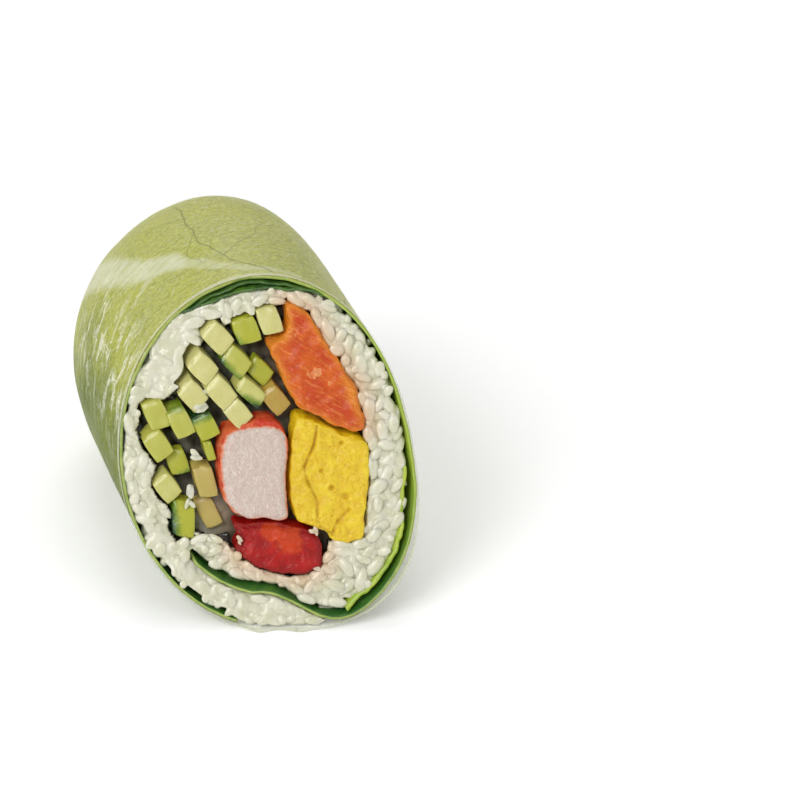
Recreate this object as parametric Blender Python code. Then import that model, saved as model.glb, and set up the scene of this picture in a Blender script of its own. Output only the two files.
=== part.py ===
"""Half of a salmon maki roll in a lettuce leaf and rice paper, lying on its side, cut on a slant.

Metres, +Z up. The roll's axis runs along Y. The slanted cut faces -Y and the closed end faces +Y.
Shapes are worked out about the roll's axis, then the whole is set on the floor.
"""

import math
import random
from collections import namedtuple

import bmesh
import bpy
from mathutils import Vector

MM = 0.001

# Outline of the roll across its axis: its mean radius, then each wave's count, height and turn
MEAN_RADIUS = 32.5 * MM
OUTLINE_WAVES = [
    (1, 0.38 * MM, math.radians(-34)),
    (2, 2.19 * MM, math.radians(59)),
    (3, 0.96 * MM, math.radians(-47)),
    (4, 0.52 * MM, math.radians(-39)),
]
STEPS_ROUND = 48
STEP = 360.0 / STEPS_ROUND

# Length of the roll, measured from the middle of the cut
DOME_START = 32 * MM
DOME_LENGTH = 52 * MM
DOME_POWER = 3.0
BARREL_STATIONS = 2
DOME_STATIONS = 8
LAST_STATION = BARREL_STATIONS + DOME_STATIONS

# The underside is a little hollow and stands on four points, each a turn in degrees and a station
REST_DEPTH = 32.2 * MM
HOLLOW_DEPTH = 31.9 * MM
REST_POINTS = [(255.0, 0), (277.5, 0), (247.5, 3), (285.0, 3)]

# Slanted cut, as the direction that its face looks in
CUT_AZIMUTH = math.radians(-19)
CUT_ELEVATION = math.radians(32)
CUT_NORMAL = Vector((
    math.sin(CUT_AZIMUTH) * math.cos(CUT_ELEVATION),
    -math.cos(CUT_AZIMUTH) * math.cos(CUT_ELEVATION),
    math.sin(CUT_ELEVATION)))

# Layers of the wrap, from the outside in
GAP = 0.35 * MM
PAPER = 0.6 * MM
LEAF = 0.9 * MM
LEAF_WAVE = 0.3 * MM
FOLD = 0.7 * MM

# Turns of the leaf, in degrees anticlockwise from +X, seen from the cut, and how far back it reaches
LEAF_START = 225.0
LEAF_END = 607.5
LEAF_LAST_STATION = 8
TAIL_DEPTH = 6.2 * MM
TAIL_RISE = (255.0, 292.5)
FOLDS = [("lettuce_fold_top", (60.0, 120.0), 4), ("lettuce_fold_side", (292.5, 345.0), 3)]
FOLD_DEPTH = PAPER + LEAF_WAVE + LEAF + 2.0 * GAP

# Fillings
FILLING_END = 50 * MM
EDGE_ROUND = 0.45 * MM
CROWN_INSET = 0.6 * MM
FIXED_STICK = 2
SETTLE_ROUNDS = 200

# Room cut in the rice: how far its cutters start before the cut and outside the roll
ROOM_FRONT = 4.0 * MM
ROOM_OUTSIDE = 1.0 * MM
ROOM_STEP = STEP / 3.0
THINNEST_RICE = 0.8 * MM
CAVITY_STEPS = 96
CAVITY_LOOKS = 4

# Rice grains on the cut
GRAIN_LENGTH = 5.6 * MM
GRAIN_WIDTH = 2.6 * MM
GRAIN_SPACING = 3.0 * MM
GRAIN_LIMIT = 112
GRAIN_TRIES = 12000
SEED = 7

Stick = namedtuple("Stick", "x z width height turn setback")
Filling = namedtuple("Filling", "name colour outline setback crown")

# Centre, size, turn in degrees and distance behind the cut of each cucumber stick, in millimetres
STICKS = [
    Stick(-6.9, 22.1, 4.6, 4.9, 42, 0.0),
    Stick(0.3, 23.1, 4.9, 4.4, 12, 0.6),
    Stick(5.5, 25.1, 4.3, 4.5, 10, 0.2),
    Stick(-3.6, 18.0, 4.5, 4.8, 44, 0.4),
    Stick(-10.9, 17.4, 4.6, 4.6, 44, 0.1),
    Stick(1.6, 15.8, 3.8, 4.4, 45, 2.4),
    Stick(-8.1, 12.8, 4.5, 4.9, 40, -0.3),
    Stick(-13.7, 12.0, 4.6, 4.6, 40, 0.3),
    Stick(-1.5, 12.4, 5.1, 3.5, -42, 0.0),
    Stick(3.7, 10.2, 4.1, 4.5, 36, 0.5),
    Stick(-5.2, 8.8, 4.3, 4.3, 38, -0.2),
    Stick(-22.0, 7.6, 4.4, 4.8, 15, 0.4),
    Stick(-16.9, 6.2, 4.2, 4.9, 20, 0.0),
    Stick(-12.0, 5.3, 4.3, 4.2, 20, 0.2),
    Stick(-11.9, 0.5, 1.8, 3.4, 8, 1.0),
    Stick(-22.4, 1.6, 4.5, 4.6, 30, 0.0),
    Stick(-18.0, -2.0, 4.0, 4.2, 10, 2.2),
    Stick(-21.3, -6.3, 4.2, 4.2, 35, 0.5),
    Stick(-14.0, -5.2, 4.0, 5.4, 4, 0.8),
    Stick(-19.9, -12.0, 4.2, 6.2, -12, 0.6),
    Stick(-14.3, -11.6, 3.7, 5.4, 20, 2.6),
    Stick(-15.8, 1.0, 2.9, 2.8, 12, 4.5),
]

# Outline corners across the roll, clockwise, in millimetres
FILLINGS = [
    Filling("salmon", (0.86, 0.27, 0.06),
            [(9.2, 28.2), (11.5, 28.2), (13.9, 26.4), (15.4, 23.6), (16.4, 20.8), (18.3, 18.3),
             (19.6, 15.0), (21.3, 12.2), (20.8, 9.6), (21.6, 7.0), (20.9, 4.9), (18.8, 4.5),
             (16.5, 5.1), (14.1, 6.2), (12.0, 7.3), (10.0, 8.1), (8.2, 8.9), (7.2, 10.6),
             (6.5, 12.4), (5.9, 14.8), (5.5, 17.2), (4.3, 19.2), (4.3, 20.6), (5.6, 21.4),
             (7.6, 21.9), (9.0, 23.2), (9.4, 25.6)], 0.0, 0.7),
    Filling("egg", (0.93, 0.66, 0.04),
            [(7.4, 7.1), (9.6, 7.0), (11.4, 6.3), (13.8, 5.1), (16.2, 3.9), (18.6, 3.4),
             (20.8, 2.9), (21.4, 1.2), (20.8, -1.6), (19.9, -5.0), (18.7, -8.6), (17.6, -11.8),
             (16.5, -15.6), (13.0, -16.1), (9.7, -15.7), (9.4, -14.2), (7.2, -13.4), (5.1, -12.7),
             (3.5, -12.4), (3.1, -10.4), (3.1, -7.4), (3.7, -3.6), (4.9, 0.3), (6.0, 3.4),
             (6.7, 5.6)], 0.0, 0.4),
    Filling("crab_stick", (0.86, 0.74, 0.68),
            [(-8.0, 4.5), (-4.4, 5.9), (0.2, 6.9), (3.0, 6.4), (4.7, 4.2), (4.0, 0.2),
             (2.7, -4.4), (2.3, -8.0), (1.9, -11.4), (-0.8, -11.9), (-3.8, -11.5), (-6.8, -11.7),
             (-9.7, -10.4), (-11.1, -7.6), (-10.9, -3.2), (-10.0, 0.6), (-9.2, 2.8)], -0.3, 0.6),
    Filling("tomato", (0.62, 0.04, 0.02),
            [(-9.8, -12.7), (-7.0, -12.9), (-3.8, -12.6), (0.0, -12.8), (2.4, -13.3),
             (5.4, -14.0), (7.6, -15.2), (7.9, -17.6), (7.0, -20.8), (3.0, -22.3), (-2.2, -22.0),
             (-6.4, -21.1), (-9.4, -19.3), (-10.4, -17.4), (-8.8, -16.0), (-9.2, -14.4)], 0.3, 0.5),
]


def material(name, colour, roughness=0.45):
    """A Principled material of one colour."""
    made = bpy.data.materials.new(name)
    made.use_nodes = True
    shader = made.node_tree.nodes["Principled BSDF"]
    shader.inputs["Base Color"].default_value = (*colour, 1.0)
    shader.inputs["Roughness"].default_value = roughness
    return made


def smooth_step(value):
    """0 below 0, 1 above 1 and an S curve between."""
    value = min(1.0, max(0.0, value))
    return value * value * (3.0 - 2.0 * value)


def cut_y(x, z):
    """Place of the slanted cut along the axis, at a point across the roll."""
    lean = math.tan(CUT_AZIMUTH)
    rise = math.tan(CUT_ELEVATION) / math.cos(CUT_AZIMUTH)
    return lean * x + rise * z


def outer_radius(degrees):
    """Radius of the roll's outline."""
    angle = math.radians(degrees)
    return MEAN_RADIUS + sum(
        height * math.cos(count * (angle - turn)) for count, height, turn in OUTLINE_WAVES)


def leaf_depth(degrees, y):
    """Depth of the leaf's outer face below the roll's surface. Its inner end dives into the rice."""
    wave = 0.5 + 0.5 * math.sin(math.radians(degrees * 5.0) + 60.0 * y)
    start, end = TAIL_RISE
    dive = TAIL_DEPTH * (1.0 - smooth_step((degrees - start) / (end - start)))
    return PAPER + GAP + LEAF_WAVE * wave + dive


def dives(degrees):
    """Whether the leaf runs deep enough here for rice to lie outside it."""
    return leaf_depth(degrees, 0.0) > PAPER + 2.0 * GAP + LEAF_WAVE + THINNEST_RICE


def on_layer(degrees, depth, y, dome_turn=0.0):
    """A point of the layer at this depth: on the barrel at y, or on the dome at dome_turn."""
    angle = math.radians(degrees)
    radius = outer_radius(degrees) - depth
    if dome_turn > 0.0:
        radius *= math.cos(dome_turn) ** (2.0 / DOME_POWER)
        y += (DOME_LENGTH - depth) * math.sin(dome_turn) ** (2.0 / DOME_POWER)
    return Vector((radius * math.cos(angle), y, max(radius * math.sin(angle), depth - HOLLOW_DEPTH)))


def station_point(degrees, depth_at, station, front):
    """A point of a layer at a station, from the cut at 0 along the barrel and then round the dome."""
    start = on_layer(degrees, depth_at(degrees, 0.0), 0.0)
    start_y = cut_y(start.x, start.z) + front
    if station <= BARREL_STATIONS:
        y = start_y + (DOME_START - start_y) * station / BARREL_STATIONS
        return on_layer(degrees, depth_at(degrees, y), y)
    turn = 0.5 * math.pi * min(station - BARREL_STATIONS, DOME_STATIONS) / DOME_STATIONS
    return on_layer(degrees, depth_at(degrees, DOME_START), DOME_START, turn)


def new_object(name, mesh_builder, colour, hidden=False):
    """An object in the scene from a filled bmesh."""
    mesh = bpy.data.meshes.new(name)
    mesh_builder.to_mesh(mesh)
    mesh_builder.free()
    made = bpy.data.objects.new(name, mesh)
    bpy.context.scene.collection.objects.link(made)
    if colour:
        mesh.materials.append(material(name, colour))
    if hidden:
        made.hide_render = True
        made.display_type = "WIRE"
    return made


def mapped_grid(builder, columns, rows, place):
    """A triangulated grid of the operator's own, each corner moved to place(column, row)."""
    made = bmesh.ops.create_grid(
        builder, x_segments=columns, y_segments=rows, size=1.0)["verts"]
    for vertex in made:
        column = round((vertex.co.x + 1.0) * 0.5 * columns)
        row = round((vertex.co.y + 1.0) * 0.5 * rows)
        vertex.co = place(column, row)
    faces = list({face for vertex in made for face in vertex.link_faces})
    return bmesh.ops.triangulate(builder, faces=faces)["faces"]


def wrap_sheet(name, colour, span, outer_at, inner_at, last=LAST_STATION, front=0.0,
               step=STEP, hidden=False, rests=()):
    """A closed sheet between two depths, over a span of turns, from the cut to a last station."""
    builder = bmesh.new()
    first = span[0]
    turned = span[1] - span[0]
    columns = round(turned / step)
    rows = math.ceil(last)

    def placer(depth_at):
        def place(column, row):
            degrees = first + turned * column / columns
            point = station_point(degrees, depth_at, min(row, last), front)
            if (degrees, row) in rests:
                point.z = depth_at(degrees, point.y) - REST_DEPTH
            return point
        return place

    mapped_grid(builder, columns, rows, placer(outer_at))
    inner_faces = mapped_grid(builder, columns, rows, placer(inner_at))
    bmesh.ops.reverse_faces(builder, faces=inner_faces)
    bmesh.ops.remove_doubles(builder, verts=builder.verts[:], dist=0.02 * MM)
    rims = [edge for edge in builder.edges if edge.is_boundary]
    bmesh.ops.bridge_loops(builder, edges=rims)
    bmesh.ops.triangulate(builder, faces=[face for face in builder.faces if len(face.verts) > 3])
    bmesh.ops.recalc_face_normals(builder, faces=builder.faces[:])
    return new_object(name, builder, colour, hidden)


def wrap_room(name, span, last, outer_at, inner_at):
    """The room that a leaf layer needs in the rice, a little past its edges all round."""
    return wrap_sheet(name, None, (span[0] - ROOM_STEP, span[1] + ROOM_STEP), outer_at, inner_at,
                      last=last + 0.3, front=-ROOM_FRONT, step=ROOM_STEP, hidden=True)


def rice_core(name, colour):
    """The rice as one block inside the rice paper, from the cut to the closed end."""
    builder = bmesh.new()
    mapped_grid(builder, STEPS_ROUND, LAST_STATION, lambda column, row: station_point(
        column * STEP, lambda degrees, y: PAPER + GAP, row, 0.0))
    bmesh.ops.remove_doubles(builder, verts=builder.verts[:], dist=0.02 * MM)
    rim = [edge for edge in builder.edges if edge.is_boundary]
    bmesh.ops.contextual_create(builder, geom=rim)
    bmesh.ops.triangulate(builder, faces=[face for face in builder.faces if len(face.verts) > 3])
    bmesh.ops.recalc_face_normals(builder, faces=builder.faces[:])
    return new_object(name, builder, colour)


def stick_corners(stick):
    """The four corners of a cucumber stick across the roll, in metres."""
    turn = math.radians(stick.turn)
    corners = []
    for side, end in ((-1, 1), (1, 1), (1, -1), (-1, -1)):
        across, up = side * stick.width / 2.0, end * stick.height / 2.0
        corners.append(Vector((
            (stick.x + across * math.cos(turn) - up * math.sin(turn)) * MM,
            (stick.z + across * math.sin(turn) + up * math.cos(turn)) * MM)))
    return corners


def separation(first, second):
    """The widest gap between two convex outlines and the direction it opens in."""
    best = (-1.0, Vector((1.0, 0.0)))
    for outline in (first, second):
        for start, end in zip(outline, outline[1:] + outline[:1]):
            along = end - start
            normal = Vector((along.y, -along.x)).normalized()
            for direction in (normal, -normal):
                reach = max(point.dot(direction) for point in first)
                gap = min(point.dot(direction) for point in second) - reach
                if gap > best[0]:
                    best = (gap, direction)
    return best


def settled_sticks(blocks):
    """The cucumber sticks, nudged apart until each clears its neighbours and the other fillings."""
    sticks = list(STICKS)
    for _ in range(SETTLE_ROUNDS):
        before = list(sticks)
        for index, stick in enumerate(sticks):
            if index == FIXED_STICK:
                continue
            others = [(stick_corners(other), 0.5) for place, other in enumerate(sticks)
                      if place != index]
            others += [(block, 1.0) for block in blocks]
            for outline, share in others:
                gap, direction = separation(stick_corners(stick), outline)
                if gap < GAP:
                    shift = direction * (gap - GAP) * share / MM
                    stick = stick._replace(x=stick.x + shift.x, z=stick.z + shift.y)
            sticks[index] = stick
        if sticks == before:
            break
    return sticks


def prism(name, colour, corners, setback, crown, hidden=False, front=0.0, back=0.0):
    """A piece that runs along the roll from the cut: rounded long edges and a crowned cut end."""
    builder = bmesh.new()
    base = builder.faces.new([builder.verts.new((c.x, 0.0, c.y)) for c in corners])
    grown = bmesh.ops.extrude_face_region(builder, geom=[base])["geom"]
    for vertex in (item for item in grown if isinstance(item, bmesh.types.BMVert)):
        vertex.co.y = FILLING_END + back
    bmesh.ops.recalc_face_normals(builder, faces=builder.faces[:])
    if not hidden:
        long_edges = [edge for edge in builder.edges
                      if abs(edge.verts[0].co.y - edge.verts[1].co.y) > FILLING_END / 2.0
                      and edge.calc_face_angle(0.0) > math.radians(20)]
        bmesh.ops.bevel(builder, geom=long_edges, offset=EDGE_ROUND, offset_type="OFFSET",
                        affect="EDGES", segments=1, profile=0.5, material=-1)
    for vertex in builder.verts:
        if vertex.co.y < FILLING_END / 2.0:
            vertex.co.y = cut_y(vertex.co.x, vertex.co.z) + setback + front
    if crown > 0.0:
        end_face = min(builder.faces, key=lambda face: face.normal.dot(CUT_NORMAL) * -1.0)
        inset = bmesh.ops.inset_region(builder, faces=[end_face], thickness=CROWN_INSET,
                                       use_even_offset=True)
        for vertex in end_face.verts:
            vertex.co += CUT_NORMAL * crown
        bmesh.ops.triangulate(builder, faces=inset["faces"])
    return new_object(name, builder, colour, hidden)


def hull_of(points):
    """The convex outline of some flat points, anticlockwise."""
    ordered = sorted({(point.x, point.y) for point in points})

    def half(run):
        kept = []
        for x, y in run:
            while len(kept) > 1 and (
                    (kept[-1][0] - kept[-2][0]) * (y - kept[-2][1])
                    - (kept[-1][1] - kept[-2][1]) * (x - kept[-2][0])) <= 0.0:
                kept.pop()
            kept.append((x, y))
        return kept[:-1]

    return [Vector(point) for point in half(ordered) + half(ordered[::-1])]


def reach_along(direction, outline):
    """How far along a direction from the axis an outline still lies, or 0 if it is missed."""
    reach = 0.0
    for start, end in zip(outline, outline[1:] + outline[:1]):
        along = end - start
        across = direction.x * along.y - direction.y * along.x
        if abs(across) < 1e-12:
            continue
        distance = (start.x * along.y - start.y * along.x) / across
        share = (start.x * direction.y - start.y * direction.x) / across
        if -0.02 <= share <= 1.02:
            reach = max(reach, distance)
    return reach


def cavity_radii(outlines):
    """Radius of the hollow round the fillings, step by step of the turn."""
    looks = CAVITY_STEPS * CAVITY_LOOKS
    reach = []
    for look in range(looks):
        turn = 2.0 * math.pi * look / looks
        direction = Vector((math.cos(turn), math.sin(turn)))
        reach.append(max(reach_along(direction, outline) for outline in outlines))
    nearby = range(1 - CAVITY_LOOKS, CAVITY_LOOKS)
    return [max(reach[(place * CAVITY_LOOKS + near) % looks] for near in nearby) + 1.3 * GAP
            for place in range(CAVITY_STEPS)]


def cavity_cutter(radii):
    """The hollow in the rice that holds the fillings, open at the cut."""
    corners = []
    for place, radius in enumerate(radii):
        turn = 2.0 * math.pi * place / CAVITY_STEPS
        corners.append(Vector((radius * math.cos(turn), radius * math.sin(turn))))
    return prism("cavity", None, corners, 0.0, 0.0, hidden=True, front=-ROOM_FRONT, back=GAP)


def boolean(target, operation, operand=None, collection=None):
    """Applies one Boolean to the target's mesh."""
    modifier = target.modifiers.new("join", "BOOLEAN")
    modifier.operation = operation
    modifier.solver = "MANIFOLD"
    if collection:
        modifier.operand_type = "COLLECTION"
        modifier.collection = collection
    else:
        modifier.object = operand
    graph = bpy.context.evaluated_depsgraph_get()
    target.data = bpy.data.meshes.new_from_object(target.evaluated_get(graph))
    target.modifiers.clear()


def fill_pockets(target):
    """Fills the hollows that grains fused side by side have closed in."""
    builder = bmesh.new()
    builder.from_mesh(target.data)
    waiting = set(builder.faces)
    while waiting:
        shell = [waiting.pop()]
        for face in shell:
            near = {other for edge in face.edges for other in edge.link_faces} & waiting
            waiting -= near
            shell.extend(near)
        volume = sum(corner.co.cross(after.co).dot(before.co) for face in shell
                     for before, corner, after in [[loop.vert for loop in face.loops][:3]])
        if volume < 0.0:
            bmesh.ops.delete(builder, geom=shell, context="FACES")
    builder.to_mesh(target.data)
    builder.free()


def clear_of_wrap(point):
    """Whether a point lies inside the wrap, clear of the paper, the leaf and its folds."""
    turn = math.degrees(math.atan2(point.z, point.x)) % 360.0
    depth = min(outer_radius(turn) - math.hypot(point.x, point.z), point.z + HOLLOW_DEPTH)
    if depth < PAPER + GAP:
        return False
    for degrees in (turn, turn + 360.0):
        if LEAF_START - 2.0 < degrees < LEAF_END + 2.0:
            top = leaf_depth(degrees, point.y)
            inside = depth > top + LEAF + GAP
            if not inside and not (dives(degrees) and depth < top - GAP):
                return False
    return not any(first - 2.0 < turn < last + 2.0 and depth < FOLD_DEPTH + FOLD + GAP
                   for _, (first, last), _ in FOLDS)


def clear_of_fillings(point, outlines):
    """Whether a point lies outside every filling with room to spare."""
    flat = Vector((point.x, point.z))
    for outline in outlines:
        inside = False
        for start, end in zip(outline, outline[1:] + outline[:1]):
            along = end - start
            share = max(0.0, min(1.0, (flat - start).dot(along) / along.length_squared))
            if (flat - start.lerp(end, share)).length < GAP:
                return False
            if (start.y > flat.y) != (end.y > flat.y):
                if flat.x < start.x + along.x * (flat.y - start.y) / along.y:
                    inside = not inside
        if inside:
            return False
    return True


def in_solid_rice(point, radii):
    """Whether a grain's middle has rice behind it to hold on to."""
    turn = math.atan2(point.z, point.x) % (2.0 * math.pi)
    place = round(turn * CAVITY_STEPS / (2.0 * math.pi)) % CAVITY_STEPS
    return math.hypot(point.x, point.z) > radii[place] + THINNEST_RICE


def grain_places(radii, outlines):
    """Seeded places and directions of the grains that show on the cut, spread evenly."""
    chance = random.Random(SEED)
    across = Vector((math.cos(CUT_AZIMUTH), math.sin(CUT_AZIMUTH), 0.0))
    up = CUT_NORMAL.cross(across)
    rim = [(share, side, 0.0) for share, side in (
        (1, 0), (-1, 0), (0.7, 0.7), (0.7, -0.7), (-0.7, 0.7), (-0.7, -0.7), (0, 1), (0, -1))]
    rim += [(share, 0.0, rise) for share in (-0.6, 0.0, 0.6) for rise in (-1.0, 1.0)]
    places = []
    for _ in range(GRAIN_TRIES):
        turn = chance.uniform(0.0, 2.0 * math.pi)
        radius = chance.uniform(min(radii), outer_radius(math.degrees(turn)))
        x, z = radius * math.cos(turn), radius * math.sin(turn)
        middle = Vector((x, cut_y(x, z), z)) + CUT_NORMAL * chance.uniform(-0.35, 0.25) * MM
        lie = chance.uniform(0.0, math.pi)
        size = chance.uniform(0.8, 1.1)
        if not in_solid_rice(middle, radii) or not clear_of_wrap(middle):
            continue
        if any((middle - other).length < GRAIN_SPACING for other, _, _ in places):
            continue
        along = across * math.cos(lie) + up * math.sin(lie)
        beside = CUT_NORMAL.cross(along)
        edge = [middle + along * (GRAIN_LENGTH * size * share / 2.0)
                + (beside * side + CUT_NORMAL * rise) * (GRAIN_WIDTH * size / 2.0)
                for share, side, rise in rim]
        if all(clear_of_wrap(point) and clear_of_fillings(point, outlines) for point in edge):
            places.append((middle, along, size))
        if len(places) == GRAIN_LIMIT:
            break
    return places


def grain_collection(places):
    """One small rounded solid for each grain, half sunk in the cut face of the rice."""
    collection = bpy.data.collections.new("grains")
    bpy.context.scene.collection.children.link(collection)
    for middle, along, size in places:
        builder = bmesh.new()
        bmesh.ops.create_uvsphere(builder, u_segments=5, v_segments=4, radius=1.0)
        half = Vector((GRAIN_WIDTH, GRAIN_WIDTH, GRAIN_LENGTH)) * (size / 2.0)
        bmesh.ops.scale(builder, vec=half, verts=builder.verts[:])
        turned = along.to_track_quat("Z", "Y").to_matrix().to_4x4()
        bmesh.ops.transform(builder, matrix=turned, verts=builder.verts[:])
        bmesh.ops.translate(builder, vec=middle, verts=builder.verts[:])
        mesh = bpy.data.meshes.new("grain")
        builder.to_mesh(mesh)
        builder.free()
        collection.objects.link(bpy.data.objects.new("grain", mesh))
    return collection


def remove_objects(objects):
    """Takes objects out of the file."""
    for item in objects:
        bpy.data.objects.remove(item)


def make_rice(outlines):
    """The rice: its core with room cut for fillings and leaf, and the grains fused on."""
    core = rice_core("rice", (0.86, 0.88, 0.82))
    radii = cavity_radii(outlines)
    cutters = [cavity_cutter(radii), wrap_room(
        "leaf_room", (LEAF_START, LEAF_END), LEAF_LAST_STATION,
        lambda degrees, y: leaf_depth(degrees, y) - GAP if dives(degrees) else -ROOM_OUTSIDE,
        lambda degrees, y: leaf_depth(degrees, y) + LEAF + GAP)]
    for name, span, stations in FOLDS:
        cutters.append(wrap_room(
            f"{name}_room", span, stations,
            lambda degrees, y: FOLD_DEPTH - GAP - LEAF,
            lambda degrees, y: FOLD_DEPTH + FOLD + GAP))
    for cutter in cutters:
        boolean(core, "DIFFERENCE", operand=cutter)
    grains = grain_collection(grain_places(radii, outlines))
    boolean(core, "UNION", collection=grains)
    fill_pockets(core)
    remove_objects([*cutters, *grains.objects])
    bpy.data.collections.remove(grains)


def make_wrap():
    """The rice paper round the whole, the leaf inside it and the leaf's two folds."""
    wrap_sheet("rice_paper", (0.80, 0.84, 0.66), (0.0, 360.0),
               lambda degrees, y: 0.0,
               lambda degrees, y: PAPER,
               rests=REST_POINTS)
    wrap_sheet("lettuce_leaf", (0.36, 0.50, 0.08), (LEAF_START, LEAF_END),
               leaf_depth,
               lambda degrees, y: leaf_depth(degrees, y) + LEAF,
               last=LEAF_LAST_STATION)
    for name, span, stations in FOLDS:
        wrap_sheet(name, (0.10, 0.30, 0.05), span,
                   lambda degrees, y: FOLD_DEPTH,
                   lambda degrees, y: FOLD_DEPTH + FOLD,
                   last=stations)


def make_fillings():
    """Every filling along the roll. Returns their outlines across it."""
    outlines = {filling.name: [Vector(corner) * MM for corner in filling.outline]
                for filling in FILLINGS}
    for filling in FILLINGS:
        prism(filling.name, filling.colour, outlines[filling.name],
              filling.setback * MM, filling.crown * MM)
    blocks = [hull_of(outline) for outline in outlines.values()]
    sticks = settled_sticks(blocks)
    for number, stick in enumerate(sticks, start=1):
        prism(f"cucumber_{number:02d}", (0.52, 0.62, 0.20), stick_corners(stick),
              stick.setback * MM, 0.0)
    return list(outlines.values()) + [stick_corners(stick) for stick in sticks]


def stand_on_floor():
    """Moves everything so that the middle of its underside is the origin."""
    solids = [item for item in bpy.data.objects if item.type == "MESH"]
    points = [vertex.co for item in solids for vertex in item.data.vertices]
    low = Vector([min(point[axis] for point in points) for axis in range(3)])
    high = Vector([max(point[axis] for point in points) for axis in range(3)])
    shift = Vector((-(low.x + high.x) / 2.0, -(low.y + high.y) / 2.0, -low.z))
    roll = bpy.data.objects.new("roll", None)
    bpy.context.scene.collection.objects.link(roll)
    roll.location = shift
    for item in solids:
        item.parent = roll


def main():
    """Builds the whole half roll in an emptied scene."""
    remove_objects(list(bpy.data.objects))
    outlines = make_fillings()
    make_rice(outlines)
    make_wrap()
    stand_on_floor()


main()
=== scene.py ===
"""Looks of half a salmon roll: rice paper, lettuce leaf, rice, fish, egg and vegetables."""

import logging
import math
import random
from dataclasses import dataclass
from enum import Enum
from functools import cache, cached_property
from typing import Callable, Optional, Sequence, Union

import bmesh
import bpy
import numpy as np
from mathutils import Matrix, Vector, noise
from mathutils.bvhtree import BVHTree


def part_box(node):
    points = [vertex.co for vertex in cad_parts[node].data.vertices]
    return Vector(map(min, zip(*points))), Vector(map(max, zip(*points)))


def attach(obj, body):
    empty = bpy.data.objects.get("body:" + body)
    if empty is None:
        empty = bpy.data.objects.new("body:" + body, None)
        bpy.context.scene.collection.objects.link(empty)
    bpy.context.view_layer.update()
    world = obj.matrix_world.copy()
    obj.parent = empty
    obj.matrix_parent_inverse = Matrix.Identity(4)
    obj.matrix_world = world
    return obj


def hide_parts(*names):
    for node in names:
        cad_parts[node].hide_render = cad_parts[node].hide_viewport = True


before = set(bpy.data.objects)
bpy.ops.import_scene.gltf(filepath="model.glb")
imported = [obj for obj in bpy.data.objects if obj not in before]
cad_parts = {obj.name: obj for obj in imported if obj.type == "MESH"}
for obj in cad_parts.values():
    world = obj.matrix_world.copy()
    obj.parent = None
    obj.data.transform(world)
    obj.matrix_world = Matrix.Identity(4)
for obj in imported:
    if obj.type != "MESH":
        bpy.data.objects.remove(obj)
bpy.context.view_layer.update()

MM = 0.001
BODY = "root"
REPORT = logging.getLogger("salmon_roll")
FINEST = 0.01 * MM
SHEET_STEP = 0.567  # Millimetres of a sheet for each degree round the roll

Colour = tuple[float, float, float]
Socket = bpy.types.NodeSocket
Value = Union[float, Sequence[float], Socket]
Placer = Callable[[np.ndarray, np.ndarray], np.ndarray]


def paint(red: int, green: int, blue: int) -> Colour:
    """A colour for a shader from its three screen values, each 0 to 255."""
    return tuple(
        v / 12.92 if v <= 0.04045 else ((v + 0.055) / 1.055) ** 2.4
        for v in (red / 255.0, green / 255.0, blue / 255.0))


def smooth_step(values: np.ndarray, low: float, high: float) -> np.ndarray:
    """Eases values from 0 at low to 1 at high.

    Args:
        values: The numbers to ease.
        low: Where the result leaves 0.
        high: Where the result reaches 1.

    Returns:
        The eased numbers, each from 0 to 1.
    """
    share = np.clip((np.asarray(values, float) - low) / (high - low), 0.0, 1.0)
    return share * share * (3.0 - 2.0 * share)


def hump(turns: np.ndarray, middle: float, half_width: float) -> np.ndarray:
    """Rises to 1 at one turn of the roll and falls to 0 on both sides of it.

    Args:
        turns: Turns round the roll, in degrees.
        middle: The turn of the top, in degrees.
        half_width: How far from it the hump ends, in degrees.

    Returns:
        The height of the hump at each turn, from 0 to 1.
    """
    away = np.abs((np.asarray(turns, float) - middle + 180.0) % 360.0 - 180.0)
    return 1.0 - smooth_step(away, 0.0, half_width)


def ripple(points: np.ndarray, size: float, seed: float = 0.0, octaves: int = 2) -> np.ndarray:
    """Smooth noise at many points.

    Args:
        points: One row of three coordinates for each point, in metres.
        size: The width of the noise's lumps, in metres.
        seed: Moves the noise, so that two layers differ.
        octaves: How many finer layers of noise are added.

    Returns:
        About -1 to 1 at each point.
    """
    shift = Vector((seed * 7.3, seed * 3.1, seed * 5.7))
    return np.array([noise.fractal(Vector(p) / size + shift, 0.6, 2.0, octaves) for p in points])


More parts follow.
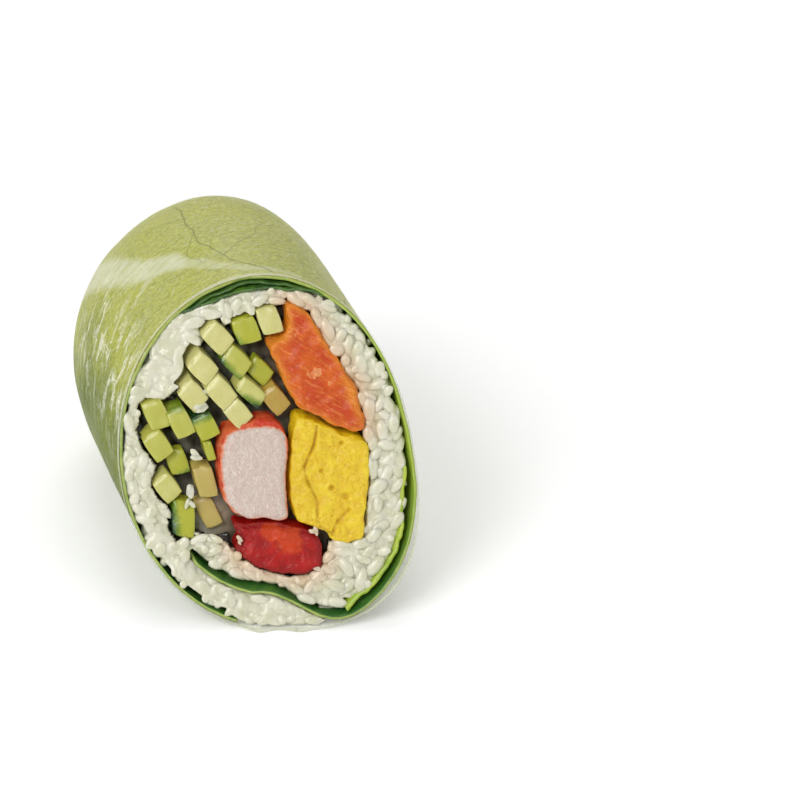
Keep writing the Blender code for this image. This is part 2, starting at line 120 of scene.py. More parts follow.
@dataclass(frozen=True)
class RollForm:
    """The roll's outline, slanted cut and rounded end, which every piece follows."""

    mean_radius: float = 32.5 * MM
    waves: tuple = ((1, 0.38 * MM, -34.0), (2, 2.19 * MM, 59.0),
                    (3, 0.96 * MM, -47.0), (4, 0.52 * MM, -39.0))
    steps_round: int = 48
    rest_depth: float = 32.2 * MM
    dome_start: float = 32.0 * MM
    dome_length: float = 52.0 * MM
    dome_power: float = 3.0
    cut_azimuth: float = math.radians(-19.0)
    cut_elevation: float = math.radians(32.0)
    pleats: int = 11
    pleat_depth: float = 0.8 * MM
    pleat_wander: float = 75.0
    pleat_twist: float = 180.0
    pleat_reach: tuple = (1.5, 1.85)

    def radius(self, turns: np.ndarray) -> np.ndarray:
        """Radius of the outline at turns in degrees, anticlockwise from +X seen from the cut."""
        return self.mean_radius + sum(
            height * np.cos(count * np.radians(turns - turn)) for count, height, turn in self.waves)

    @cached_property
    def middle(self) -> np.ndarray:
        """The middle of the cut, on the roll's axis.

        Returns:
            The point, in the part's own frame.
        """
        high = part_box("rice_paper")[1]
        turns = np.arange(self.steps_round) * 360.0 / self.steps_round
        widest = (self.radius(turns) * np.cos(np.radians(turns))).max()
        return np.array([high.x - widest, high.y - self.dome_start - self.dome_length,
                         self.rest_depth])

    @cached_property
    def axes(self) -> np.ndarray:
        """The cut's directions: across it, up it and out of it, a row each."""
        turn, rise = self.cut_azimuth, self.cut_elevation
        return np.array([
            [math.cos(turn), math.sin(turn), 0.0],
            [-math.sin(turn) * math.sin(rise), math.cos(turn) * math.sin(rise), math.cos(rise)],
            [math.sin(turn) * math.cos(rise), -math.cos(turn) * math.cos(rise), math.sin(rise)]])

    def cut_y(self, x: np.ndarray, z: np.ndarray) -> np.ndarray:
        """Place of the cut along the axis, at a point across the roll."""
        lean = math.tan(self.cut_azimuth)
        return lean * x + math.tan(self.cut_elevation) / math.cos(self.cut_azimuth) * z

    @cached_property
    def dome_table(self) -> tuple[np.ndarray, np.ndarray]:
        """Shares of the way over the rounded end, and the dome's turn at each.

        Returns:
            The shares, from 0 to 1, and the turns in radians.
        """
        turns = np.linspace(0.0, 0.5 * math.pi, 600)
        power = 2.0 / self.dome_power
        across = self.mean_radius * np.cos(turns).clip(0.0) ** power
        along = self.dome_length * np.sin(turns) ** power
        steps = np.hypot(np.diff(across), np.diff(along))
        way = np.concatenate([[0.0], np.cumsum(steps)])
        return way / way[-1], turns

    def layer(self, turns: np.ndarray, depths: np.ndarray, reaches: np.ndarray,
              ahead: Union[float, np.ndarray] = 0.0) -> np.ndarray:
        """Points of a layer of the roll.

        Args:
            turns: Turns round the roll, in degrees.
            depths: How deep each point lies below the outline.
            reaches: 0 at the cut, 1 where the end starts to round, 2 at the tip.
            ahead: How far the layer's edge stands past the cut.

        Returns:
            One row of three coordinates for each point, in the part's own frame.
        """
        angles = np.radians(turns)
        shares, dome_turns = self.dome_table
        dome = np.interp(np.clip(reaches - 1.0, 0.0, 1.0), shares, dome_turns)
        power = 2.0 / self.dome_power
        radius = self.radius(turns) - depths
        start_x = radius * np.cos(angles)
        start_z = np.maximum(radius * np.sin(angles), depths - self.rest_depth)
        start_y = self.cut_y(start_x, start_z) - ahead
        barrel = np.clip(reaches, 0.0, 1.0)
        y = start_y + (self.dome_start - start_y) * barrel
        y = y + (self.dome_length - depths) * np.sin(dome) ** power
        shrink = np.cos(dome).clip(0.0) ** power
        z = np.maximum(start_z * shrink, depths - self.rest_depth)
        return np.stack([start_x * shrink, y, z], axis=1) + self.middle

    def with_sheet(self, points: np.ndarray, turns: np.ndarray) -> np.ndarray:
        """Adds a sheet's own coordinates to its points.

        Args:
            points: One row of three coordinates for each point.
            turns: Turns round the sheet, in degrees.

        Returns:
            The points with three more columns: millimetres round the roll and back from the
            middle of its cut, and 0.
        """
        back = (points[:, 1] - self.middle[1]) / MM
        return np.column_stack([points, turns * SHEET_STEP, back, np.zeros_like(turns)])

    def tuck(self, turns: np.ndarray, reaches: np.ndarray) -> np.ndarray:
        """How deep the gathers at the closed end draw every layer in.

        Args:
            turns: Turns round the roll, in degrees.
            reaches: As layer() counts them.

        Returns:
            The depth at each point.
        """
        wander = self.pleat_wander * np.sin(np.radians(turns * 2.0 + 40.0)) \
            + self.pleat_twist * (reaches - 1.0)
        wave = 0.5 + 0.5 * np.cos(np.radians(turns * self.pleats + wander))
        unequal = 0.55 + 0.45 * np.sin(np.radians(turns * 3.0 + 70.0))
        fade = smooth_step(reaches, *self.pleat_reach) * (1.0 - 0.5 * smooth_step(reaches, 1.9, 2.0))
        return self.pleat_depth * fade * wave ** 3 * unequal

    def section(self, points: np.ndarray) -> tuple[np.ndarray, np.ndarray, np.ndarray]:
        """Splits points into turn round the roll in degrees, depth below its outline, and y.

        Args:
            points: One row of three coordinates for each point.

        Returns:
            The turns, the depths, and the places along the axis from the middle of the cut.
        """
        away = np.atleast_2d(points) - self.middle
        turns = np.degrees(np.arctan2(away[:, 2], away[:, 0])) % 360.0
        depths = self.radius(turns) - np.hypot(away[:, 0], away[:, 2])
        return turns, np.minimum(depths, away[:, 2] + self.rest_depth), away[:, 1]

    def face(self, points: np.ndarray) -> np.ndarray:
        """Coordinates of points across the cut, up it and out of it, in millimetres."""
        return (np.atleast_2d(points) - self.middle) @ self.axes.T / MM

    def face_point(self, across: float, up: float, out: float = 0.0) -> np.ndarray:
        """The point at these millimetres across the cut, up it and out of it."""
        return self.middle + np.array([across, up, out]) * MM @ self.axes


FORM = RollForm()


class Board:
    """The nodes of one material or group, with short ways to add and join them."""

    def __init__(self, tree: bpy.types.NodeTree) -> None:
        """Takes the node tree to work on."""
        self.tree = tree

    def node(self, kind: str, inputs: Optional[dict] = None, **settings: object) -> bpy.types.Node:
        """Adds a node.

        Args:
            kind: The node's type name without its ShaderNode prefix.
            inputs: Values or sockets for its inputs, by name or by number.
            settings: Properties of the node.

        Returns:
            The new node.
        """
        made = self.tree.nodes.new("ShaderNode" + kind)
        for name, value in settings.items():
            setattr(made, name, value)
        for key, value in (inputs or {}).items():
            self.feed(made.inputs[key], value)
        return made

    def feed(self, socket: Socket, value: Value) -> None:
        """Joins a socket to the input, or sets its value."""
        if isinstance(value, bpy.types.NodeSocket):
            self.tree.links.new(value, socket)
        elif socket.type == "RGBA" and len(value) == 3:
            socket.default_value = (*value, 1.0)
        else:
            socket.default_value = value

    def math(self, operation: str, *values: Value, clamp: bool = False) -> Socket:
        """Adds a Math node and gives its result."""
        made = self.node("Math", dict(enumerate(values)), operation=operation, use_clamp=clamp)
        return made.outputs[0]

    def vector(self, operation: str, *values: Value, output: int = 0) -> Socket:
        """Adds a Vector Math node and gives one of its results."""
        made = self.node("VectorMath", dict(enumerate(values)), operation=operation)
        return made.outputs[output]

    def ease(self, value: Value, low: float, high: float, start: float = 0.0,
             end: float = 1.0) -> Socket:
        """Maps a value smoothly from low..high onto start..end."""
        made = self.node("MapRange", {0: value, 1: low, 2: high, 3: start, 4: end},
                         interpolation_type="SMOOTHSTEP")
        return made.outputs[0]

    def mix(self, share: Value, first: Value, second: Value, blend: str = "MIX") -> Socket:
        """Mixes two colours."""
        made = self.node("Mix", {0: share, 6: first, 7: second}, data_type="RGBA",
                         blend_type=blend)
        return made.outputs[2]

    def noise(self, where: Socket, size: float, detail: float = 3.0, rough: float = 0.55,
              warp: float = 0.0) -> Socket:
        """Adds a noise texture with lumps of a size in millimetres and gives its value."""
        made = self.node("TexNoise", {"Vector": where, "Scale": 1.0 / size, "Detail": detail,
                                      "Roughness": rough, "Distortion": warp})
        return made.outputs[0]

    def stretched(self, where: Socket, turn: float, scale: Sequence[float]) -> Socket:
        """Turns a pattern's coordinates about their third axis, in degrees, then stretches them."""
        turned = self.node("Mapping", {"Vector": where, "Rotation": (0.0, 0.0, math.radians(turn))})
        return self.node("Mapping", {"Vector": turned.outputs[0], "Scale": scale}).outputs[0]

    def attribute(self, name: str, vector: bool = False) -> Socket:
        """Gives a number or three numbers stored on the mesh."""
        made = self.node("Attribute", attribute_name=name)
        return made.outputs["Vector" if vector else "Fac"]

    def cut_place(self) -> Socket:
        """The point's place across the cut, up it and out of it, in millimetres.

        Returns:
            The place as a vector that changes over the surface.
        """
        where = self.node("TexCoord").outputs["Object"]
        away = self.vector("SUBTRACT", where, tuple(FORM.middle))
        parts = [self.vector("DOT_PRODUCT", away, tuple(axis / MM), output=1)
                 for axis in FORM.axes]
        return self.node("CombineXYZ", dict(enumerate(parts))).outputs[0]

    def bump(self, height: Socket, distance: float, strength: float = 1.0) -> Socket:
        """Turns a height into a surface normal.

        Args:
            height: The height at each point.
            distance: How far 1 of it stands out, in metres.
            strength: The share of the effect.

        Returns:
            The new normal.
        """
        made = self.node("Bump", {"Height": height, "Distance": distance, "Strength": strength})
        return made.outputs[0]

    def group(self, tree: bpy.types.NodeTree, **inputs: Value) -> Socket:
        """Adds a shared effect with its own values and gives its first output.

        Args:
            tree: The effect.
            inputs: Its values, by the names of its inputs in small letters.

        Returns:
            Its first output.
        """
        made = self.node("Group", node_tree=tree)
        for name, value in inputs.items():
            self.feed(made.inputs[name.replace("_", " ").capitalize()], value)
        return made.outputs[0]


def new_group(name: str, inputs: dict[str, Optional[float]],
              output: str) -> tuple[bpy.types.NodeTree, Board, dict[str, Socket], Socket]:
    """Starts a shader node group.

    Args:
        name: The group's name.
        inputs: Each input's name and its default number, or None for a vector.
        output: The name of its output.

    Returns:
        The group, its board, its inputs as sockets to read and its output to feed.
    """
    tree = bpy.data.node_groups.new(name, "ShaderNodeTree")
    for label, default in inputs.items():
        socket_kind = "NodeSocketVector" if default is None else "NodeSocketFloat"
        made = tree.interface.new_socket(label, in_out="INPUT", socket_type=socket_kind)
        if default is not None:
            made.default_value = default
    tree.interface.new_socket(output, in_out="OUTPUT", socket_type="NodeSocketFloat")
    entry, leaving = tree.nodes.new("NodeGroupInput"), tree.nodes.new("NodeGroupOutput")
    return tree, Board(tree), {s.name: s for s in entry.outputs if s.name}, leaving.inputs[0]


@cache
def stroke() -> bpy.types.NodeTree:
    """A soft line between two points, 1 on it and 0 away from it.

    Returns:
        The group.
    """
    tree, board, given, output = new_group("Stroke", {
        "Place": None, "Start": None, "End": None, "Start width": 1.0, "End width": 1.0}, "Mask")
    along = board.vector("SUBTRACT", given["End"], given["Start"])
    away = board.vector("SUBTRACT", given["Place"], given["Start"])
    share = board.math("DIVIDE", board.vector("DOT_PRODUCT", away, along, output=1),
                       board.vector("DOT_PRODUCT", along, along, output=1), clamp=True)
    near = board.node("VectorMath", {0: along, "Scale": share}, operation="SCALE").outputs[0]
    distance = board.vector("DISTANCE", away, near, output=1)
    widened = board.math("SUBTRACT", given["End width"], given["Start width"])
    width = board.math("MULTIPLY_ADD", widened, share, given["Start width"])
    board.feed(output, board.ease(board.math("DIVIDE", distance, width), 1.0, 0.4))
    return tree


@cache
def patch() -> bpy.types.NodeTree:
    """A ragged spot, 1 inside and 0 outside.

    Returns:
        The group.
    """
    tree, board, given, output = new_group("Patch", {
        "Place": None, "Middle": None, "Radius": 1.0, "Ragged": 0.3, "Grain": 1.0}, "Mask")
    lumps = board.node("TexNoise", {"Vector": given["Place"], "Scale": given["Grain"],
                                    "Detail": 3.0}).outputs[0]
    distance = board.math("DIVIDE", board.vector("DISTANCE", given["Place"], given["Middle"],
                                                 output=1), given["Radius"])
    uneven = board.math("MULTIPLY_ADD", board.math("SUBTRACT", lumps, 0.5), given["Ragged"],
                        distance)
    board.feed(output, board.ease(uneven, 1.0, 0.55))
    return tree


@cache
def mottle() -> bpy.types.NodeTree:
    """Uneven colour at two sizes, from 0 to 1.

    Returns:
        The group.
    """
    tree, board, given, output = new_group("Mottle", {
        "Place": None, "Broad": 0.1, "Fine": 1.0, "Fine share": 0.4}, "Mask")
    broad = board.node("TexNoise", {"Vector": given["Place"], "Scale": given["Broad"],
                                    "Detail": 2.0}).outputs[0]
    fine = board.node("TexNoise", {"Vector": given["Place"], "Scale": given["Fine"],
                                   "Detail": 4.0, "Roughness": 0.65}).outputs[0]
    both = board.node("Mix", {0: given["Fine share"], 2: broad, 3: fine}).outputs[0]
    board.feed(output, board.ease(both, 0.32, 0.68))
    return tree


@cache
def grain_lines() -> bpy.types.NodeTree:
    """Fine lines along one direction, broken and uneven, from 0 to 1.

    Returns:
        The group.
    """
    tree, board, given, output = new_group("Grain lines", {
        "Place": None, "Turn": 0.0, "Fineness": 1.0, "Length": 0.1, "Waviness": 0.5}, "Mask")
    turned = board.node("VectorRotate", {"Vector": given["Place"], "Angle": given["Turn"]},
                        rotation_type="Z_AXIS").outputs[0]
    scale = board.node("CombineXYZ", {0: given["Length"], 1: given["Fineness"],
                                      2: given["Fineness"]}).outputs[0]
    where = board.vector("MULTIPLY", turned, scale)
    lines = board.node("TexNoise", {"Vector": where, "Scale": 1.0, "Detail": 3.0,
                                    "Distortion": given["Waviness"]}).outputs[0]
    board.feed(output, board.ease(lines, 0.35, 0.65))
    return tree


@cache
def wet_streaks() -> bpy.types.NodeTree:
    """The drawn, slightly crumpled surface of a wet sheet, as a height from 0 to 1.

    Returns:
        The group.
    """
    tree, board, given, output = new_group("Wet streaks", {"Place": None, "Size": 1.0}, "Height")
    shrunk = board.vector("DIVIDE", given["Place"], given["Size"])
    long_lines = board.noise(board.vector("MULTIPLY", shrunk, (0.16, 1.0, 1.0)), 1.1, 3.0, 0.5, 0.8)
    crumple = board.noise(shrunk, 0.55, 3.0, 0.6, 0.3)
    fuzz = board.noise(shrunk, 0.22, 2.0)
    total = board.math("MULTIPLY_ADD", crumple, 0.45, long_lines)
    board.feed(output, board.math("MULTIPLY_ADD", fuzz, 0.25, total))
    return tree


@dataclass(frozen=True)
class Finish:
    """A finish by name, whose material is made once and shared."""

    name: str

    @cache
    def material(self) -> bpy.types.Material:
        """Gives the finish's material, which is made on first use.

        Returns:
            The material.
        """
        made = bpy.data.materials.new(f"{self.name}_finish")
        made.use_nodes = True
        board, shader = Board(made.node_tree), made.node_tree.nodes["Principled BSDF"]
        for name, value in self.paint(board).items():
            board.feed(shader.inputs[name], value)
        return made

    def paint(self, board: Board) -> dict[str, Value]:
        """Adds the nodes of the finish.

        Args:
            board: The material's nodes.

        Returns:
            What goes to each input of the shader, by the input's name: a socket, or a constant.
        """
        raise NotImplementedError


@dataclass(frozen=True)
class Trace:
    """A line on the leaf, in millimetres round the roll and back from its cut."""

    points: tuple
    widths: tuple
    strength: float


VEINS = (
    Trace(((53.0, 65.1), (54.1, 53.2), (53.6, 43.9), (49.9, 31.2), (42.8, 21.4)),
          (0.34, 0.28), 0.5),
    Trace(((53.9, 47.0), (57.6, 40.3), (56.0, 34.0)), (0.26, 0.2), 0.4),
    Trace(((54.0, 56.0), (62.0, 61.0)), (0.3, 0.2), 0.35),
    Trace(((51.0, 33.5), (44.0, 38.0), (38.0, 46.0)), (0.35, 0.2), 0.3),
    Trace(((101.0, 30.0), (92.0, 46.0), (90.0, 66.0)), (0.6, 0.4), 0.3),
    Trace(((28.0, 14.0), (20.0, 34.0), (22.0, 58.0)), (0.6, 0.4), 0.3),
    Trace(((-20.0, 10.0), (-12.0, 34.0), (-14.0, 58.0)), (0.7, 0.4), 0.3),
)
BANDS = (
    Trace(((88.0, 71.1), (78.0, 59.0), (70.3, 46.9), (61.1, 39.6)), (7.5, 4.0), 0.85),
    Trace(((61.1, 39.6), (56.1, 33.8), (47.1, 24.9), (38.0, 19.5)), (2.6, 0.9), 0.5),
    Trace(((69.0, 47.0), (68.6, 40.6), (75.1, 37.5)), (2.0, 0.9), 0.5),
)


@dataclass(frozen=True)
class LeafFinish(Finish):
    """Lettuce under wet rice paper: pale and milky on top, greener down the side, with veins; the
    pale top is partly painted light, the greener sides partly painted shade, and the pale strokes on
    the left flank are a painted highlight.
    """

    name: str = "lettuce"
    milky: Colour = paint(197, 196, 100)
    yellow: Colour = paint(164, 169, 44)
    green: Colour = paint(92, 108, 6)
    band: Colour = paint(212, 213, 184)
    # Colour of the painted highlight strokes.
    painted_highlight: Colour = paint(232, 232, 212)
    vein: Colour = paint(72, 92, 18)
    dullness: float = 0.4
    dotted: float = 0.36
    frosted: tuple = (0.5, 0.24)
    highlight_share: float = 0.88
    stroke_tilt: float = 24.0

    def paint(self, board: Board) -> dict[str, Value]:
        """Paints the leaf's sun side.

        Args:
            board: The material's nodes.

        Returns:
            The shader's inputs, as Finish.paint says.
        """
        sheet = board.attribute("sheet", vector=True)
        broad = board.group(mottle(), place=sheet, broad=0.055, fine=0.5, fine_share=0.35)
        fine = board.group(mottle(), place=sheet, broad=1.1, fine=3.2, fine_share=0.6)
        # Painted light and shade: paler and milkier on top and darker green down the sides, partly
        # the milky paper and partly painted light and shade; the frost specks fade on the darker
        # sides.
        shade = board.attribute("shade")
        base = board.mix(board.math("MULTIPLY_ADD", broad, 0.35, shade, clamp=True),
                         self.milky, self.yellow)
        base = board.mix(board.ease(board.math("MULTIPLY_ADD", broad, 0.3, shade), 0.55, 1.15),
                         base, self.green)
        base = board.mix(board.math("MULTIPLY", fine, 0.28), base, self.yellow, "MULTIPLY")
        dots = board.ease(board.noise(board.vector("MULTIPLY", sheet, (0.5, 1.0, 1.0)), 0.8, 4.0,
                                      0.75), 0.44, 0.58)
        base = board.mix(board.math("MULTIPLY", dots, self.dotted), base, self.green)
        specks = board.ease(board.noise(sheet, 0.75, 4.0, 0.8), 0.5, 0.6)
        drawn = board.ease(board.noise(board.vector("MULTIPLY", sheet, (0.12, 0.9, 1.0)), 1.0, 2.0),
                           0.45, 0.7)
        frost = board.math("MULTIPLY", specks, board.math("MULTIPLY_ADD", drawn, *self.frosted))
        frost = board.math("MULTIPLY", frost, board.math("MULTIPLY_ADD", shade, -0.8, 1.1))
        base = board.mix(frost, base, self.band)
        base = self.draw_veins(board, sheet, base)
        # Painted highlight: broken pale strokes on the left flank, within a zone stored on the leaf,
        # stand for wet gloss catching the side lamp; the same strokes also raise the coat's real
        # gloss.
        drawn = board.stretched(sheet, self.stroke_tilt, (0.13, 0.46, 1.0))
        strokes = board.ease(board.noise(drawn, 1.0, 3.0, 0.6, 0.5), 0.5, 0.6)
        broken = board.ease(board.noise(sheet, 0.8, 3.0, 0.85), 0.42, 0.56, 0.15, 1.0)
        strokes = board.math("MULTIPLY", strokes, broken)
        highlight_share = board.math("MULTIPLY", strokes, board.attribute("painted_highlight"))
        base = board.mix(board.math("MULTIPLY", highlight_share, self.highlight_share), base, self.painted_highlight)
        height = board.group(wet_streaks(), place=sheet, size=1.0)
        gloss = board.math("MULTIPLY_ADD", highlight_share, 0.3, 0.05)
        return {
            "Base Color": base,
            "Normal": board.bump(height, 0.4 * MM, 1.0),
            "Coat Weight": gloss,
            "Roughness": self.dullness, "Coat Roughness": 0.2, "Specular IOR Level": 0.02,
            "Subsurface Weight": 0.12, "Subsurface Scale": 0.8 * MM,
            "Subsurface Radius": (1.0, 1.0, 0.3)}

    def draw_veins(self, board: Board, sheet: Socket, base: Socket) -> Socket:
        """Draws the main veins, the fine net between them and the pale band.

        Args:
            board: The material's nodes.
            sheet: Places on the leaf, in millimetres round the roll and back from its cut.
            base: The colour so far.

        Returns:
            The colour with the veins.
        """
        warp = board.node("TexNoise", {"Vector": sheet, "Scale": 0.12, "Detail": 3.0}).outputs[1]
        away = board.vector("SUBTRACT", warp, (0.5, 0.5, 0.5))
        bent = board.vector("MULTIPLY_ADD", away, (7.0, 7.0, 0.0), sheet)
        cells = board.node("TexVoronoi", {"Vector": bent, "Scale": 0.075},
                           feature="DISTANCE_TO_EDGE").outputs["Distance"]
        base = board.mix(board.math("MULTIPLY", board.ease(cells, 0.022, 0.0), 0.14), base,
                         self.vein)
        soft = board.node("TexNoise", {"Vector": sheet, "Scale": 0.16, "Detail": 1.0}).outputs[1]
        eased = board.vector("MULTIPLY_ADD", board.vector("SUBTRACT", soft, (0.5, 0.5, 0.5)),
                             (3.0, 3.0, 0.0), sheet)
        streaks = board.ease(board.noise(board.vector("MULTIPLY", sheet, (0.16, 1.0, 1.0)), 1.1,
                                         4.0, 0.65), 0.3, 0.6, 0.45, 1.0)
        for traces, colour, worn in ((BANDS, self.band, streaks), (VEINS, self.vein, 1.0)):
            for trace in traces:
                share = board.math("MULTIPLY", self.trace(board, eased, trace), worn)
                base = board.mix(board.math("MULTIPLY", share, trace.strength), base, colour)
        return base

    @staticmethod
    def trace(board: Board, place: Socket, trace: Trace) -> Socket:
        """The mask of one line on the leaf, from strokes end to end.

        Args:
            board: The material's nodes.
            place: Places on the leaf.
            trace: The line.

        Returns:
            1 on the line and 0 away from it.
        """
        first, last = trace.widths
        mask: Value = 0.0
        count = len(trace.points) - 1
        for number, (start, end) in enumerate(zip(trace.points, trace.points[1:])):
            share = board.group(
                stroke(), place=place, start=(*start, 0.0), end=(*end, 0.0),
                start_width=first + (last - first) * number / count,
                end_width=first + (last - first) * (number + 1) / count)
            mask = board.math("MAXIMUM", mask, share)
        return mask


@dataclass(frozen=True)
class LeafEdgeFinish(Finish):
    """The cut edge or inner side of a leaf, in one green with fine lines; the dark greens given to
    the inner side and the top plies are partly painted shade.
    """

    light: Colour = paint(176, 190, 96)
    dark: Colour = paint(120, 148, 50)
    lime: Colour = paint(158, 182, 58)

    def paint(self, board: Board) -> dict[str, Value]:
        """Paints the leaf's edge or its inner side.

        Args:
            board: The material's nodes.

        Returns:
            The shader's inputs, as Finish.paint says.
        """
        place = board.cut_place()
        share = board.group(mottle(), place=place, broad=0.25, fine=2.5, fine_share=0.5)
        base = board.mix(share, self.light, self.dark)
        base = board.mix(board.attribute("lime"), base, self.lime)
        return {
            "Base Color": base,
            "Normal": board.bump(board.noise(place, 0.4), 0.1 * MM, 0.6),
            "Roughness": 0.38, "Coat Weight": 0.3, "Coat Roughness": 0.2,
            "Subsurface Weight": 0.1, "Subsurface Scale": 0.6 * MM}


@dataclass(frozen=True)
class PaperFinish(Finish):
    """Wet rice paper: see-through, a little milky in patches, and glossy."""

    name: str = "wet_rice_paper"
    tint: Colour = paint(226, 228, 206)
    shade: Colour = paint(214, 218, 180)
    milkiest: float = 0.07

    def paint(self, board: Board) -> dict[str, Value]:
        """Paints the sheet.

        Args:
            board: The material's nodes.

        Returns:
            The shader's inputs, as Finish.paint says.
        """
        sheet = board.attribute("sheet", vector=True)
        cloud = board.group(mottle(), place=sheet, broad=0.07, fine=0.9, fine_share=0.35)
        cover = board.math("MULTIPLY", cloud, self.milkiest)
        tone = board.mix(cloud, self.tint, self.shade)
        height = board.group(wet_streaks(), place=sheet, size=1.15)
        return {
            "Alpha": board.math("ADD", cover, board.attribute("milk"), clamp=True),
            "Base Color": tone,
            "Normal": board.bump(height, 0.2 * MM, 0.7),
            "Roughness": 0.25, "Coat Weight": 0.4, "Coat Roughness": 0.12}


@dataclass(frozen=True)
class RiceFinish(Finish):
    """Cooked rice: soft white and a little see-through, with a painted orange reflection near the
    fish and tomato, and painted shade among the fillings.
    """

    name: str = "rice"
    gloss: float = 0.45
    softness: float = 0.35
    white: Colour = paint(222, 219, 200)
    cool: Colour = paint(194, 195, 160)
    reflected_tint: Colour = paint(214, 170, 132)
    shadow: Colour = paint(24, 20, 6)

    def paint(self, board: Board) -> dict[str, Value]:
        """Paints the grains.

        Args:
            board: The material's nodes.

        Returns:
            The shader's inputs, as Finish.paint says.
        """
        place = board.cut_place()
        share = board.group(mottle(), place=place, broad=0.3, fine=1.6, fine_share=0.4)
        base = board.mix(board.math("MULTIPLY", share, 0.75), self.white, self.cool)
        # Painted reflection: orange from the nearby fish and tomato.
        reflected_share = board.math("MULTIPLY", board.attribute("reflected_tint"), 0.5)
        base = board.mix(reflected_share, base, self.reflected_tint)
        # Painted shade: rice among the fillings is darkened towards the shadow colour.
        base = board.mix(board.attribute("painted_shade"), base, self.shadow)
        return {
            "Base Color": base,
            "Normal": board.bump(board.noise(place, 0.35), 0.08 * MM, 0.6),
            "Roughness": 0.45 - 0.4 * self.gloss, "Subsurface Weight": self.softness,
            "Subsurface Radius": (1.0, 0.95, 0.8), "Subsurface Scale": 1.3 * MM,
            "Coat Weight": self.gloss, "Coat Roughness": 0.2,
            "Specular IOR Level": 0.5 * min(1.0, self.gloss * 4.0)}


@dataclass(frozen=True)
class SalmonFinish(Finish):
    """Smoked salmon: red-orange, lighter at its edges, with fat lines and pale flecks."""

    name: str = "salmon"
    flesh: Colour = paint(198, 68, 10)
    orange: Colour = paint(212, 94, 14)
    edge: Colour = paint(228, 146, 34)
    fat: Colour = paint(236, 150, 70)
    fleck: Colour = paint(236, 170, 110)
    flecks: tuple = ((10.2, 18.2, 1.7), (13.6, 16.2, 0.9), (5.8, 26.8, 0.6), (6.4, 20.4, 0.6))

    def paint(self, board: Board) -> dict[str, Value]:
        """Paints the cut of the fish.

        Args:
            board: The material's nodes.

        Returns:
            The shader's inputs, as Finish.paint says.
        """
        place = board.cut_place()
        rim = board.math("ADD", board.attribute("rim"),
                         board.math("MULTIPLY", board.noise(place, 2.4), 2.2))
        base = board.mix(board.ease(board.noise(place, 4.0, 2.0), 0.35, 0.65), self.flesh,
                         self.orange)
        base = board.mix(board.math("MULTIPLY", board.ease(rim, 3.2, 1.0), 0.7), base, self.edge)
        lines = board.group(grain_lines(), place=place, turn=math.radians(28.0), fineness=1.7,
                            length=0.16, waviness=0.9)
        base = board.mix(board.math("MULTIPLY", board.ease(lines, 0.7, 1.0), 0.3), base, self.fat)
        for across, up, size in self.flecks:
            share = board.group(patch(), place=place, middle=(across, up, 0.0), radius=size,
                                ragged=2.6, grain=1.3)
            base = board.mix(board.math("MULTIPLY", share, 0.6), base, self.fleck)
        grain = board.math("ADD", lines, board.noise(place, 0.5, 4.0))
        return {
            "Base Color": base,
            "Normal": board.bump(grain, 0.25 * MM, 0.7),
            "Roughness": 0.42, "Subsurface Weight": 0.2, "Coat Weight": 0.18,
            "Specular IOR Level": 0.35, "Subsurface Radius": (1.0, 0.35, 0.12),
            "Subsurface Scale": 1.2 * MM, "Coat Roughness": 0.2}


@dataclass(frozen=True)
class EggFinish(Finish):
    """Rolled omelette: bright yellow and porous, darker along its creases, with painted shade in its
    pores and pits.
    """

    name: str = "egg"
    yellow: Colour = paint(234, 206, 26)
    deep: Colour = paint(220, 178, 8)
    crease: Colour = paint(190, 134, 4)

    def paint(self, board: Board) -> dict[str, Value]:
        """Paints the cut of the omelette.

        Args:
            board: The material's nodes.

        Returns:
            The shader's inputs, as Finish.paint says.
        """
        place = board.cut_place()
        share = board.group(mottle(), place=place, broad=0.35, fine=1.8, fine_share=0.5)
        base = board.mix(share, self.yellow, self.deep)
        pores = board.node("TexVoronoi", {"Vector": place, "Scale": 1.15},
                           feature="F1").outputs["Distance"]
        sunk = board.ease(pores, 0.26, 0.08)
        some = board.ease(board.noise(place, 2.6), 0.5, 0.62)
        holes = board.math("MULTIPLY", sunk, some)
        # Painted shade in the pores.
        base = board.mix(board.math("MULTIPLY", holes, 0.5), base, self.crease)
        # Darker along the creases; in the pits this is painted shade.
        base = board.mix(board.math("MULTIPLY", board.attribute("crease"), 0.55), base,
                         self.crease)
        height = board.math("SUBTRACT", board.noise(place, 0.6, 4.0, 0.65), holes)
        return {
            "Base Color": base,
            "Normal": board.bump(height, 0.35 * MM, 0.8),
            "Roughness": 0.42, "Subsurface Weight": 0.2, "Coat Weight": 0.2,
            "Subsurface Radius": (1.0, 0.8, 0.2), "Subsurface Scale": 1.4 * MM,
            "Coat Roughness": 0.25}


